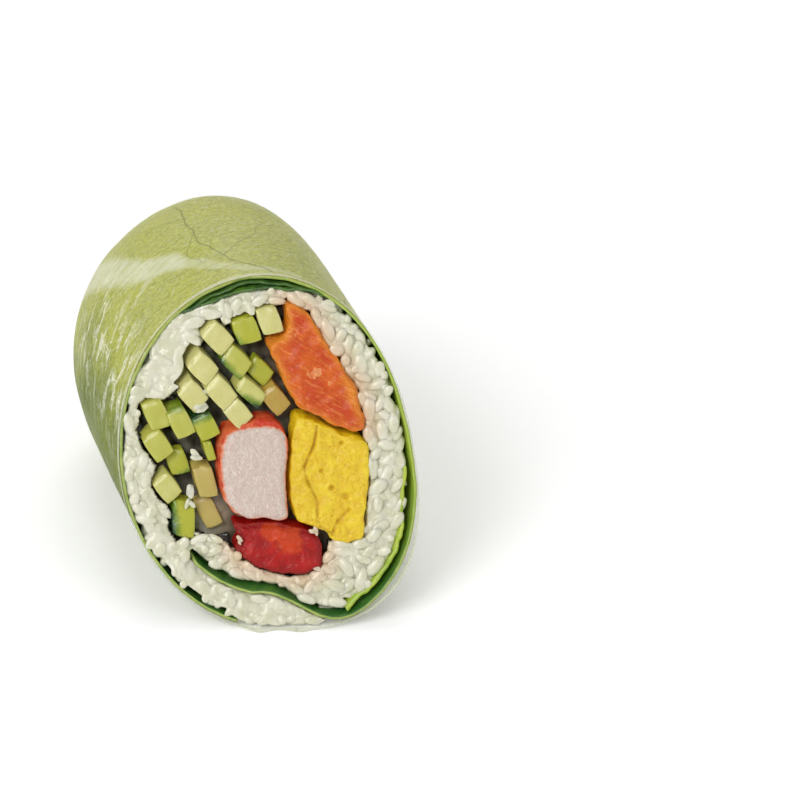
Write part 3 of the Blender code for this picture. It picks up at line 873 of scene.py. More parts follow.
@dataclass(frozen=True)
class CrabFinish(Finish):
    """Crab stick: a white fibrous middle inside a vivid orange-red skin."""

    name: str = "crab_stick"
    white: Colour = paint(228, 214, 202)
    pink: Colour = paint(210, 184, 172)
    skin: Colour = paint(216, 50, 12)
    orange: Colour = paint(226, 104, 48)
    glow: Colour = paint(236, 140, 100)

    def paint(self, board: Board) -> dict[str, Value]:
        """Paints the cut of the crab stick.

        Args:
            board: The material's nodes.

        Returns:
            The shader's inputs, as Finish.paint says.
        """
        place = board.cut_place()
        threads = board.group(grain_lines(), place=place, turn=math.radians(80.0), fineness=2.2,
                              length=0.9, waviness=2.5)
        base = board.mix(threads, self.white, self.pink)
        rim = board.math("ADD", board.attribute("rim"),
                         board.math("MULTIPLY", board.math("SUBTRACT", board.noise(place, 1.5, 4.0),
                                                           0.5), 1.8))
        up = board.node("SeparateXYZ", {0: place}).outputs[1]
        rim = board.math("SUBTRACT", rim, board.ease(up, 4.5, 7.5, -0.3, 0.8))
        base = board.mix(board.ease(rim, 1.4, 0.5), base, self.glow)
        uneven = board.ease(board.noise(place, 3.5, 2.0), 0.35, 0.65)
        skin = board.mix(uneven, self.skin, self.orange)
        base = board.mix(board.ease(rim, 0.7, 0.3), base, skin)
        height = board.math("ADD", threads, board.noise(place, 0.4, 3.0))
        return {
            "Base Color": base,
            "Normal": board.bump(height, 0.2 * MM, 0.7),
            "Roughness": 0.4, "Subsurface Weight": 0.3, "Coat Weight": 0.25,
            "Subsurface Radius": (1.0, 0.6, 0.5), "Subsurface Scale": 1.2 * MM,
            "Coat Roughness": 0.2}


@dataclass(frozen=True)
class TomatoFinish(Finish):
    """Tomato flesh: deep wet red, granular, with a painted orange highlight near its top."""

    name: str = "tomato"
    red: Colour = paint(186, 12, 4)
    dark: Colour = paint(138, 2, 2)
    glow: Colour = paint(214, 78, 6)
    highlight_spots: tuple = ((4.6, -18.6, 3.8), (0.4, -16.6, 2.8))

    def paint(self, board: Board) -> dict[str, Value]:
        """Paints the cut of the tomato.

        Args:
            board: The material's nodes.

        Returns:
            The shader's inputs, as Finish.paint says.
        """
        place = board.cut_place()
        share = board.group(mottle(), place=place, broad=0.3, fine=2.0, fine_share=0.5)
        base = board.mix(share, self.red, self.dark)
        base = board.mix(board.ease(board.attribute("rim"), 2.2, 0.5), base, self.dark)
        # Painted highlight: orange patches near the top.
        for across, up, size in self.highlight_spots:
            share = board.group(patch(), place=place, middle=(across, up, 0.0), radius=size,
                                ragged=0.8, grain=0.6)
            base = board.mix(board.math("MULTIPLY", share, 0.5), base, self.glow)
        specks = board.ease(board.noise(place, 0.5, 2.0), 0.6, 0.72)
        base = board.mix(board.math("MULTIPLY", specks, 0.4), base, self.glow)
        height = board.noise(place, 0.45, 3.0)
        return {
            "Base Color": base,
            "Normal": board.bump(height, 0.3 * MM, 0.7),
            "Roughness": 0.5, "Subsurface Weight": 0.1, "Coat Weight": 0.12,
            "Specular IOR Level": 0.3, "Subsurface Radius": (1.0, 0.2, 0.1),
            "Subsurface Scale": 1.2 * MM, "Coat Roughness": 0.16}


@dataclass(frozen=True)
class CucumberFinish(Finish):
    """Cucumber flesh, wet and pale, that turns green towards the skin."""

    name: str = "cucumber"
    cream: Colour = paint(210, 204, 142)
    yellow_green: Colour = paint(172, 174, 50)
    brown: Colour = paint(176, 136, 60)
    green: Colour = paint(100, 128, 20)
    skin: Colour = paint(22, 62, 24)

    def paint(self, board: Board) -> dict[str, Value]:
        """Paints the sticks, each by the tint and skin stored on it.

        Args:
            board: The material's nodes.

        Returns:
            The shader's inputs, as Finish.paint says.
        """
        place = board.cut_place()
        share = board.group(mottle(), place=place, broad=0.5, fine=2.2, fine_share=0.45)
        base = board.mix(board.attribute("tint"), self.cream, self.yellow_green)
        base = board.mix(board.attribute("brown"), base, self.brown)
        base = board.mix(board.math("MULTIPLY", share, 0.25), base, self.yellow_green)
        uneven = board.math("MULTIPLY_ADD", board.math("SUBTRACT", share, 0.5), 0.14,
                            board.attribute("skin"))
        base = board.mix(board.ease(uneven, 0.5, 0.8), base, self.green)
        base = board.mix(board.ease(uneven, 0.78, 0.93), base, self.skin)
        return {
            "Base Color": base,
            "Normal": board.bump(board.noise(place, 0.55, 3.0), 0.14 * MM, 0.7),
            "Roughness": 0.27, "Subsurface Weight": 0.3, "Coat Weight": 0.4,
            "Subsurface Radius": (0.9, 1.0, 0.3), "Subsurface Scale": 1.4 * MM,
            "Coat Roughness": 0.15}


def new_mesh(name: str, builder: bmesh.types.BMesh) -> bpy.types.Mesh:
    """A smooth mesh from a filled bmesh, which is freed.

    Args:
        name: The mesh's name.
        builder: The shape.

    Returns:
        The mesh.
    """
    mesh = bpy.data.meshes.new(name)
    builder.to_mesh(mesh)
    builder.free()
    mesh.shade_smooth()
    return mesh


def mapped_grid(builder: bmesh.types.BMesh, columns: int, rows: int, place: Placer) -> None:
    """Adds a grid of the operator's own and moves each corner to its place.

    Args:
        builder: The bmesh to add to.
        columns: Faces along the first side.
        rows: Faces along the second side.
        place: Gives the points for shares, from 0 to 1, of the two sides, and the sheet
            coordinates stored on them as three more columns.
    """
    layer = builder.verts.layers.float_vector.new("sheet")
    made = bmesh.ops.create_grid(builder, x_segments=columns, y_segments=rows, size=1.0)["verts"]
    shares = np.array([vertex.co[:2] for vertex in made]) * 0.5 + 0.5
    placed = place(shares[:, 0], shares[:, 1])
    for vertex, row in zip(made, placed):
        vertex.co = row[:3]
        vertex[layer] = row[3:]


def voxel_mesh(builder: bmesh.types.BMesh, size: float) -> bmesh.types.BMesh:
    """Fuses closed shapes into one skin.

    Args:
        builder: The shapes, which are freed.
        size: The size of the skin's faces.

    Returns:
        The fused shape.
    """
    mesh = bpy.data.meshes.new("fused")
    builder.to_mesh(mesh)
    builder.free()
    holder = bpy.data.objects.new("fused", mesh)
    bpy.context.scene.collection.objects.link(holder)
    remesh = holder.modifiers.new("fuse", "REMESH")
    remesh.mode = "VOXEL"
    remesh.voxel_size = size
    graph = bpy.context.evaluated_depsgraph_get()
    fused = bpy.data.meshes.new_from_object(holder.evaluated_get(graph))
    bpy.data.objects.remove(holder)
    result = bmesh.new()
    result.from_mesh(fused)
    bpy.data.meshes.remove(fused)
    return result


def store(mesh: bpy.types.Mesh, name: str, values: np.ndarray) -> None:
    """Stores one number for each vertex."""
    made = mesh.attributes.new(name, "FLOAT", "POINT")
    made.data.foreach_set("value", np.asarray(values, np.float32))


def rows_of(mesh: bpy.types.Mesh, kind: str = "co") -> np.ndarray:
    """The places of a mesh's vertices, or their normals.

    Args:
        mesh: The mesh.
        kind: What is read, co or normal.

    Returns:
        Three columns of numbers, a row for each vertex.
    """
    rows = np.zeros(len(mesh.vertices) * 3, np.float32)
    mesh.vertices.foreach_get(kind, rows)
    return rows.reshape(-1, 3).astype(float)


def move_to(mesh: bpy.types.Mesh, spots: np.ndarray) -> None:
    """Moves the vertices of a mesh."""
    mesh.vertices.foreach_set("co", spots.astype(np.float32).ravel())
    mesh.update()


def add_piece(name: str, mesh: bpy.types.Mesh, finishes: Sequence[Finish],
              nodes: Sequence[str] = ()) -> bpy.types.Object:
    """Puts a finished mesh into the scene as a piece of the roll.

    Args:
        name: The piece's name.
        mesh: Its mesh, in the part's own frame.
        finishes: Its finishes, in the order of its material slots.
        nodes: The solids that it stands for.

    Returns:
        The piece.
    """
    made = bpy.data.objects.new(name, mesh)
    bpy.context.scene.collection.objects.link(made)
    for finish in finishes:
        mesh.materials.append(finish.material())
    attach(made, BODY)
    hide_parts(*nodes)
    REPORT.info("%s: %d vertices", name, len(mesh.vertices))
    return made


def thicken(piece: bpy.types.Object, thickness: float, inner: int = 0, rim: int = 0) -> None:
    """Gives a sheet its thickness, inwards.

    Args:
        piece: The sheet.
        thickness: How thick it becomes.
        inner: How many slots further the inner face's material is.
        rim: How many slots further the rim's material is.
    """
    wall = piece.modifiers.new("thickness", "SOLIDIFY")
    wall.thickness = thickness
    wall.offset = -1.0
    wall.material_offset = inner
    wall.material_offset_rim = rim


@dataclass(frozen=True)
class Fold:
    """One folded ply of the leaf: its turns, depth, reach back, waves and greens."""

    name: str
    span: tuple
    depth: float
    reach: float
    seed: int
    light: Colour
    dark: Colour


@dataclass
class Wrap:
    """The rice paper, the lettuce leaf inside it and the leaf's folds."""

    paper_faces: tuple = (300, 96)
    paper_seam: float = 268.0
    paper_thickness: float = 0.16 * MM
    paper_depth: float = 0.08 * MM
    paper_lump: float = 0.07 * MM
    paper_lump_size: float = 9.0 * MM
    paper_ahead: float = 0.25 * MM
    paper_wave: float = 0.2 * MM
    bulge_middle: float = 262.0
    bulge_half: float = 30.0
    bulge_ahead: float = 1.1 * MM
    bulge_wave: float = 0.5 * MM
    dent_size: float = 3.4 * MM
    dent_depth: float = 0.45 * MM
    dent_reach: tuple = (1.8, 1.86)
    haze: float = 0.05
    end_haze: float = 0.12
    rim_milk_and_highlight: float = 0.34
    leaf_faces: tuple = (340, 90)
    leaf_depth: float = 0.34 * MM
    leaf_thickness: float = 0.62 * MM
    leaf_span: tuple = (225.0, 607.5)
    leaf_reach: float = 1.72
    leaf_ragged: tuple = ((0.05, 3.0), (0.03, 8.0))
    leaf_lump: float = 0.1 * MM
    leaf_lump_size: float = 14.0 * MM
    leaf_ahead: float = 0.15 * MM
    leaf_wave: float = 0.3 * MM
    leaf_wave_size: float = 5.0 * MM
    inner_end_ahead: float = 0.6 * MM
    inner_end_turns: tuple = (280.0, 305.0)
    tail_depth: float = 6.5 * MM
    tail_rise: tuple = (255.0, 292.5)
    gap_middle: float = 318.0
    gap_half: float = 36.0
    gap_depth: float = 0.9 * MM
    palest_turn: float = 70.0
    lime_turn: float = 12.0
    highlight_turn: float = 157.0
    fold_faces: tuple = (110, 40)
    fold_thickness: float = 0.55 * MM
    fold_wave: float = 0.35 * MM
    # The top plies' dark greens are partly the leaf's own green and partly painted shade of the gaps
    # between the plies; the side ply is lime.
    folds: tuple = (
        Fold("lettuce_fold_top", (60.0, 115.0), 1.55 * MM, 0.9, 1, paint(84, 118, 36),
             paint(24, 72, 28)),
        Fold("lettuce_fold_top_inner", (67.0, 110.0), 2.5 * MM, 0.8, 2, paint(96, 136, 40),
             paint(22, 66, 30)),
        Fold("lettuce_fold_side", (290.0, 356.0), 3.1 * MM, 0.9, 3, paint(186, 202, 66),
             paint(140, 172, 40)))

    def build(self) -> None:
        """Builds and dresses all sheets of the wrap."""
        self.paper()
        self.leaf()
        for fold in self.folds:
            self.fold(fold)

    def paper_rows(self, columns: np.ndarray, rows: np.ndarray) -> np.ndarray:
        """Places of the rice paper, with its wavy front edge, gathers and dents.

        Args:
            columns: Shares of the way round the roll.
            rows: Shares of the way from the cut to the tip.

        Returns:
            Points and sheet coordinates, as mapped_grid wants them.
        """
        turns = self.paper_seam + 360.0 * columns
        reaches = 2.0 * rows ** 1.1
        points = FORM.layer(turns, np.zeros_like(turns), reaches)
        lumps = ripple(points, self.paper_lump_size, 3.0)
        cells = np.array([noise.voronoi(Vector(point) / self.dent_size)[0][0] for point in points])
        dents = smooth_step(cells, 0.2, 0.65) * smooth_step(reaches, *self.dent_reach)
        depths = self.paper_depth + self.paper_lump * lumps + self.dent_depth * dents
        bulge = hump(turns, self.bulge_middle, self.bulge_half) * (
            self.bulge_ahead + self.bulge_wave * np.sin(np.radians(turns * 23.0)))
        edge = self.paper_ahead + self.paper_wave * np.sin(np.radians(turns * 5.0)) + bulge
        points = FORM.layer(turns, depths + FORM.tuck(turns, reaches), reaches, ahead=edge)
        return FORM.with_sheet(points, turns)

    def milk(self, spots: np.ndarray) -> np.ndarray:
        """How milky the paper is: more over the top, at the closed end and at its cut edge, where the
        whiter line is partly the paper seen edge-on and partly a painted highlight.

        Args:
            spots: The points.

        Returns:
            What each point adds to the paper's cover.
        """
        turns, _, back = FORM.section(spots)
        away = FORM.face(spots)[:, 2]
        milk = self.haze * (hump(turns, 60.0, 90.0) + smooth_step(back, 60 * MM, 80 * MM))
        milk += self.end_haze * smooth_step(back, 74 * MM, 82 * MM)
        milk += self.end_haze * hump(turns, self.gap_middle, 34.0) * smooth_step(away, -8.0, 0.0)
        # Whiter along the cut edge: partly the paper seen edge-on, partly a painted highlight.
        return milk + self.rim_milk_and_highlight * smooth_step(away, -0.9, 0.0)

    def paper(self) -> None:
        """The sheet of rice paper round the whole half."""
        builder = bmesh.new()
        mapped_grid(builder, *self.paper_faces, self.paper_rows)
        bmesh.ops.remove_doubles(builder, verts=builder.verts[:], dist=FINEST)
        bmesh.ops.recalc_face_normals(builder, faces=builder.faces[:])
        mesh = new_mesh("rice_paper_wrap", builder)
        store(mesh, "milk", self.milk(rows_of(mesh)))
        piece = add_piece("rice_paper_wrap", mesh, [PaperFinish()], ["rice_paper"])
        thicken(piece, self.paper_thickness)

    def leaf_rows(self, columns: np.ndarray, rows: np.ndarray) -> np.ndarray:
        """Places of the leaf, whose inner end dives into the rice.

        Args:
            columns: Shares of the way from the inner to the outer end.
            rows: Shares of the way from the cut to the ragged far edge.

        Returns:
            Points and sheet coordinates, as mapped_grid wants them.
        """
        start, end = self.leaf_span
        turns = start + (end - start) * columns
        ragged = sum(height * np.sin(np.radians(turns * count)) for height, count in self.leaf_ragged)
        reaches = (self.leaf_reach + ragged) * rows ** 1.15
        points = FORM.layer(turns, np.zeros_like(turns), reaches)
        risen = smooth_step(turns, *self.tail_rise)
        open_share = hump(turns, self.gap_middle, self.gap_half) * risen
        depths = self.leaf_depth + 0.12 * MM + self.tail_depth * (1.0 - risen)
        depths = depths + self.leaf_lump * ripple(points, self.leaf_lump_size, 11.0)
        depths = depths + self.gap_depth * open_share * (1.0 - smooth_step(reaches, 0.0, 0.7))
        edge = self.leaf_ahead + self.leaf_wave * ripple(points, self.leaf_wave_size, 2.0)
        edge = edge + self.inner_end_ahead * (1.0 - smooth_step(turns, *self.inner_end_turns))
        points = FORM.layer(turns, depths + FORM.tuck(turns, reaches), reaches, ahead=edge)
        return FORM.with_sheet(points, turns - 360.0)

    def leaf(self) -> None:
        """The leaf, from its inner end in the rice once round to its outer end."""
        builder = bmesh.new()
        mapped_grid(builder, *self.leaf_faces, self.leaf_rows)
        bmesh.ops.reverse_faces(builder, faces=builder.faces[:])
        mesh = new_mesh("lettuce_leaf_wrap", builder)
        self.face_outwards(mesh)
        turns, _, back = FORM.section(rows_of(mesh))
        # Palest on top, darker green down the sides and a little paler towards the closed end: partly
        # the milky paper, partly painted light on top and painted shade down the sides.
        from_palest = np.abs((turns - self.palest_turn + 180.0) % 360.0 - 180.0)
        side = smooth_step(from_palest, 35.0, 130.0)
        store(mesh, "shade", 0.15 + 0.75 * side - 0.15 * smooth_step(back, 30 * MM, 80 * MM))
        # Where the inner side's painted shade gives way to lime, on the right.
        store(mesh, "lime", hump(turns, self.lime_turn, 72.0))
        # Zone of the painted highlight strokes on the leaf's left flank.
        store(mesh, "painted_highlight", hump(turns, self.highlight_turn, 38.0)
              * smooth_step(back, 5 * MM, 20 * MM) * (1.0 - smooth_step(back, 52 * MM, 68 * MM)))
        # Painted shade: the inner side's dark greens stand for the shade between leaf and rice.
        inner = LeafEdgeFinish("lettuce_inner", paint(74, 122, 40), paint(30, 84, 28))
        edge = LeafEdgeFinish("lettuce_edge", paint(176, 190, 102), paint(128, 156, 58))
        piece = add_piece("lettuce_leaf_wrap", mesh, [LeafFinish(), inner, edge],
                          ["lettuce_leaf"])
        thicken(piece, self.leaf_thickness, 1, 2)

    @staticmethod
    def face_outwards(mesh: bpy.types.Mesh) -> None:
        """Turns a sheet's faces so that they look away from the roll's axis.

        Args:
            mesh: The sheet.
        """
        first = mesh.polygons[len(mesh.polygons) // 2]
        away = Vector(first.center) - Vector(FORM.middle)
        away.y = 0.0
        if first.normal.dot(away) < 0.0:
            mesh.flip_normals()

    def fold(self, fold: Fold) -> None:
        """Builds and dresses one folded ply of the leaf, between leaf and rice.

        Args:
            fold: The ply.
        """
        start, end = fold.span

        def place(columns: np.ndarray, rows: np.ndarray) -> np.ndarray:
            """Places of the ply.

            Args:
                columns: Shares of the ply's way round the roll.
                rows: Shares of its reach into the roll.

            Returns:
                Rows of points and places on the sheet, as mapped_grid wants them.
            """
            turns = start + (end - start) * columns
            points = FORM.layer(turns, np.zeros_like(turns), rows * fold.reach)
            waves = ripple(points, 5.0 * MM, fold.seed * 2.0)
            pinch = 1.0 - 0.35 * smooth_step(np.abs(columns - 0.5), 0.36, 0.5)
            edge = 0.1 * MM + self.fold_wave * ripple(points, 3.0 * MM, fold.seed + 6.0)
            depths = fold.depth * pinch + self.fold_wave * waves
            return FORM.with_sheet(FORM.layer(turns, depths, rows * fold.reach, ahead=edge), turns)

        builder = bmesh.new()
        mapped_grid(builder, *self.fold_faces, place)
        mesh = new_mesh(fold.name, builder)
        self.face_outwards(mesh)
        edge = LeafEdgeFinish(f"{fold.name}_edge", fold.light, fold.dark)
        nodes = [fold.name] if fold.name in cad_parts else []
        thicken(add_piece(f"{fold.name}_ply", mesh, [edge], nodes),
                self.fold_thickness)


def node_copy(node: str) -> bmesh.types.BMesh:
    """A copy of a solid, with its loose triangles joined.

    Args:
        node: The solid's name.

    Returns:
        The copy.
    """
    builder = bmesh.new()
    builder.from_mesh(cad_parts[node].data)
    bmesh.ops.remove_doubles(builder, verts=builder.verts[:], dist=FINEST)
    return builder


def sliced(builder: bmesh.types.BMesh, behind: float, keep_front: bool) -> None:
    """Cuts a closed shape parallel to the roll's cut and closes it again.

    Args:
        builder: The shape.
        behind: How far behind the roll's cut the slice runs.
        keep_front: Whether the part in front stays, and not the part behind.
    """
    normal = Vector(FORM.axes[2])
    spot = Vector(FORM.middle) - normal * behind
    found = bmesh.ops.bisect_plane(
        builder, geom=builder.verts[:] + builder.edges[:] + builder.faces[:], plane_co=spot,
        plane_no=normal, clear_outer=not keep_front, clear_inner=keep_front)
    edges = [item for item in found["geom_cut"] if isinstance(item, bmesh.types.BMEdge)]
    bmesh.ops.triangle_fill(builder, use_beauty=True, use_dissolve=False, edges=edges)
    bmesh.ops.recalc_face_normals(builder, faces=builder.faces[:])


def joined(first: bmesh.types.BMesh, second: bmesh.types.BMesh) -> bmesh.types.BMesh:
    """Adds the second shape to the first and frees it.

    Args:
        first: The shape to add to.
        second: The shape to add.

    Returns:
        The first shape.
    """
    mesh = bpy.data.meshes.new("joined")
    second.to_mesh(mesh)
    second.free()
    first.from_mesh(mesh)
    bpy.data.meshes.remove(mesh)
    return first


@dataclass
class Filling:
    """A filling that runs along the roll, detailed at its cut."""

    node: str
    finish: Finish
    slot: str
    voxel: float = 0.32 * MM
    front_length: float = 8.0 * MM
    side_size: float = 3.0 * MM
    side_height: float = 0.3 * MM
    face_size: float = 1.6 * MM
    face_height: float = 0.22 * MM

    @cached_property
    def walls(self) -> BVHTree:
        """The solid's long walls, to measure distances to its outline.

        Returns:
            The walls, without the cut face and the far end.
        """
        builder = node_copy(self.node)
        ends = [face for face in builder.faces if abs(face.normal.y) > 0.3]
        bmesh.ops.delete(builder, geom=ends, context="FACES")
        tree = BVHTree.FromBMesh(builder)
        builder.free()
        return tree

    def build(self) -> bpy.types.Object:
        """Builds the filling: a detailed front fused to a plain length behind it.

        Returns:
            The piece.
        """
        front = node_copy(self.node)
        sliced(front, self.front_length, keep_front=True)
        front = voxel_mesh(front, self.voxel)
        for _ in range(3):
            bmesh.ops.smooth_vert(front, verts=front.verts[:], factor=0.5, use_axis_x=True,
                                  use_axis_y=True, use_axis_z=True)
        rear = node_copy(self.node)
        sliced(rear, self.front_length - 0.8 * MM, keep_front=False)
        mesh = new_mesh(f"{self.node}_piece", joined(front, rear))
        spots = rows_of(mesh)
        rim = np.array([self.walls.find_nearest(spot)[3] for spot in spots])
        normals = rows_of(mesh, "normal")
        near = smooth_step(FORM.face(spots)[:, 2], -self.front_length / MM + 1.5, -1.0)
        facing = smooth_step(normals @ FORM.axes[2], 0.5, 0.9) * (near > 0.0)
        side = ripple(spots, self.side_size, 5.0) * self.side_height * near * (1.0 - facing)
        spots = spots + normals * side[:, None]
        lift, extra = self.relief(spots, rim)
        spots = spots + FORM.axes[2] * (lift * facing)[:, None]
        move_to(mesh, spots)
        store(mesh, "rim", rim / MM)
        for name, values in extra.items():
            store(mesh, name, values)
        return add_piece(f"{self.node}_piece", mesh, [self.finish], [self.node])

    def relief(self, spots: np.ndarray, rim: np.ndarray) -> tuple[np.ndarray, dict]:
        """How far the cut face stands out at each point, and numbers for the finish.

        Args:
            spots: The points.
            rim: Their distances from the filling's outline.

        Returns:
            The lift of each point, and any attributes by name.
        """
        return ripple(spots, self.face_size, 8.0, 3) * self.face_height, {}


@dataclass
class Salmon(Filling):
    """The slice of fish, ridged along its muscle."""

    node: str = "salmon"
    finish: Finish = SalmonFinish()
    slot: str = "salmon"
    ridge_turn: float = math.radians(-28.0)

    def relief(self, spots: np.ndarray, rim: np.ndarray) -> tuple[np.ndarray, dict]:
        """Soft ridges across the face.

        Args:
            spots: The points.
            rim: Their distances from the filling's outline.

        Returns:
            The lift of each point, and any attributes by name.
        """
        face = FORM.face(spots)
        across = face[:, 0] * math.sin(self.ridge_turn) + face[:, 1] * math.cos(self.ridge_turn)
        stretched = face * MM
        stretched[:, 0] *= 0.4
        ridges = np.sin(across * 1.9 + 2.5 * ripple(stretched, 4.0 * MM, 4.0))
        lift = ridges * 0.14 * MM + ripple(spots, 1.1 * MM, 9.0, 3) * 0.12 * MM
        return lift + ripple(spots, 5.0 * MM, 2.0) * 0.4 * MM, {}


@dataclass
class Egg(Filling):
    """The piece of rolled omelette, with creases between its turns and a few pits."""

    node: str = "egg"
    finish: Finish = EggFinish()
    slot: str = "egg"
    creases: tuple = (
        ((11.2, 5.7), (9.9, 2.35), (7.0, -1.9), (7.0, -4.3), (8.4, -8.1), (7.6, -11.85)),
        ((8.0, -12.9), (10.1, -14.3), (11.8, -11.9), (14.7, -9.6)))
    pits: tuple = ((13.9, -6.9, 0.9), (17.0, -8.7, 1.1), (11.6, -3.2, 0.7), (16.0, 3.0, 0.6))
    crease_width: float = 0.42
    crease_depth: float = 0.75 * MM

    def relief(self, spots: np.ndarray, rim: np.ndarray) -> tuple[np.ndarray, dict]:
        """Creases, pits and a spongy surface.

        Args:
            spots: The points.
            rim: Their distances from the filling's outline.

        Returns:
            The lift of each point, and any attributes by name.
        """
        away = spots - FORM.middle
        flat = away[:, [0, 2]] / MM
        nearest = np.full(len(flat), 99.0)
        for line in self.creases:
            for start, end in zip(line, line[1:]):
                start, along = np.array(start), np.array(end) - np.array(start)
                share = np.clip((flat - start) @ along / (along @ along), 0.0, 1.0)
                distance = np.linalg.norm(flat - start - share[:, None] * along, axis=1)
                nearest = np.minimum(nearest, distance)
        crease = 1.0 - smooth_step(nearest, 0.1, self.crease_width)
        crease = crease * (0.7 + 0.5 * ripple(spots, 2.5 * MM, 12.0)).clip(0.15, 1.0)
        pitted = np.zeros(len(flat))
        face = FORM.face(spots)
        for across, up, size in self.pits:
            distance = np.hypot(face[:, 0] - across, face[:, 1] - up)
            pitted = np.maximum(pitted, 1.0 - smooth_step(distance, 0.2, size))
        lift = ripple(spots, 1.3 * MM, 8.0, 3) * 0.28 * MM + ripple(spots, 4.0 * MM, 3.0) * 0.4 * MM
        lift = lift - crease * self.crease_depth - pitted * 0.6 * MM
        # The creases are darkened, and the pits as painted shade.
        return lift, {"crease": np.maximum(crease, 0.7 * pitted)}


@dataclass
class CrabStick(Filling):
    """The crab stick, whose fibrous middle swells out of its skin."""

    node: str = "crab_stick"
    finish: Finish = CrabFinish()
    slot: str = "crab_stick"

    def relief(self, spots: np.ndarray, rim: np.ndarray) -> tuple[np.ndarray, dict]:
        """A swollen middle inside a ragged skin.

        Args:
            spots: The points.
            rim: Their distances from the filling's outline.

        Returns:
            The lift of each point, and any attributes by name.
        """
        swell = smooth_step(rim, 0.8 * MM, 2.0 * MM) * 0.45 * MM
        ragged = (1.0 - smooth_step(rim, 0.6 * MM, 1.6 * MM)) * ripple(spots, 1.4 * MM, 6.0, 3)
        return swell + ragged * 0.5 * MM + ripple(spots, 0.9 * MM, 8.0, 2) * 0.12 * MM, {}


@dataclass
class Tomato(Filling):
    """The piece of tomato, granular on its cut."""

    node: str = "tomato"
    finish: Finish = TomatoFinish()
    slot: str = "tomato"

    def relief(self, spots: np.ndarray, rim: np.ndarray) -> tuple[np.ndarray, dict]:
        """Small wet lumps.

        Args:
            spots: The points.
            rim: Their distances from the filling's outline.

        Returns:
            The lift of each point, and any attributes by name.
        """
        lift = ripple(spots, 0.9 * MM, 8.0, 3) * 0.12 * MM + ripple(spots, 3.5 * MM, 1.0) * 0.3 * MM
        return lift - (1.0 - smooth_step(rim, 0.3 * MM, 1.4 * MM)) * 0.4 * MM, {}


class Flesh(Enum):
    """Tint and brownness of a cucumber stick's flesh."""

    CREAM = (0.12, 0.0)
    PALE = (0.42, 0.0)
    YELLOW_GREEN = (0.78, 0.0)
    GREEN = (1.0, 0.0)
    BEIGE = (0.25, 0.62)
    BROWN = (0.6, 0.9)


@dataclass(frozen=True)
class StickLook:
    """How one cucumber stick looks: its flesh, where its skin is and how its front drifts."""

    flesh: Flesh
    skin_turn: float = 0.0
    skin: float = 0.0
    drift: tuple = (0.0, 0.0)


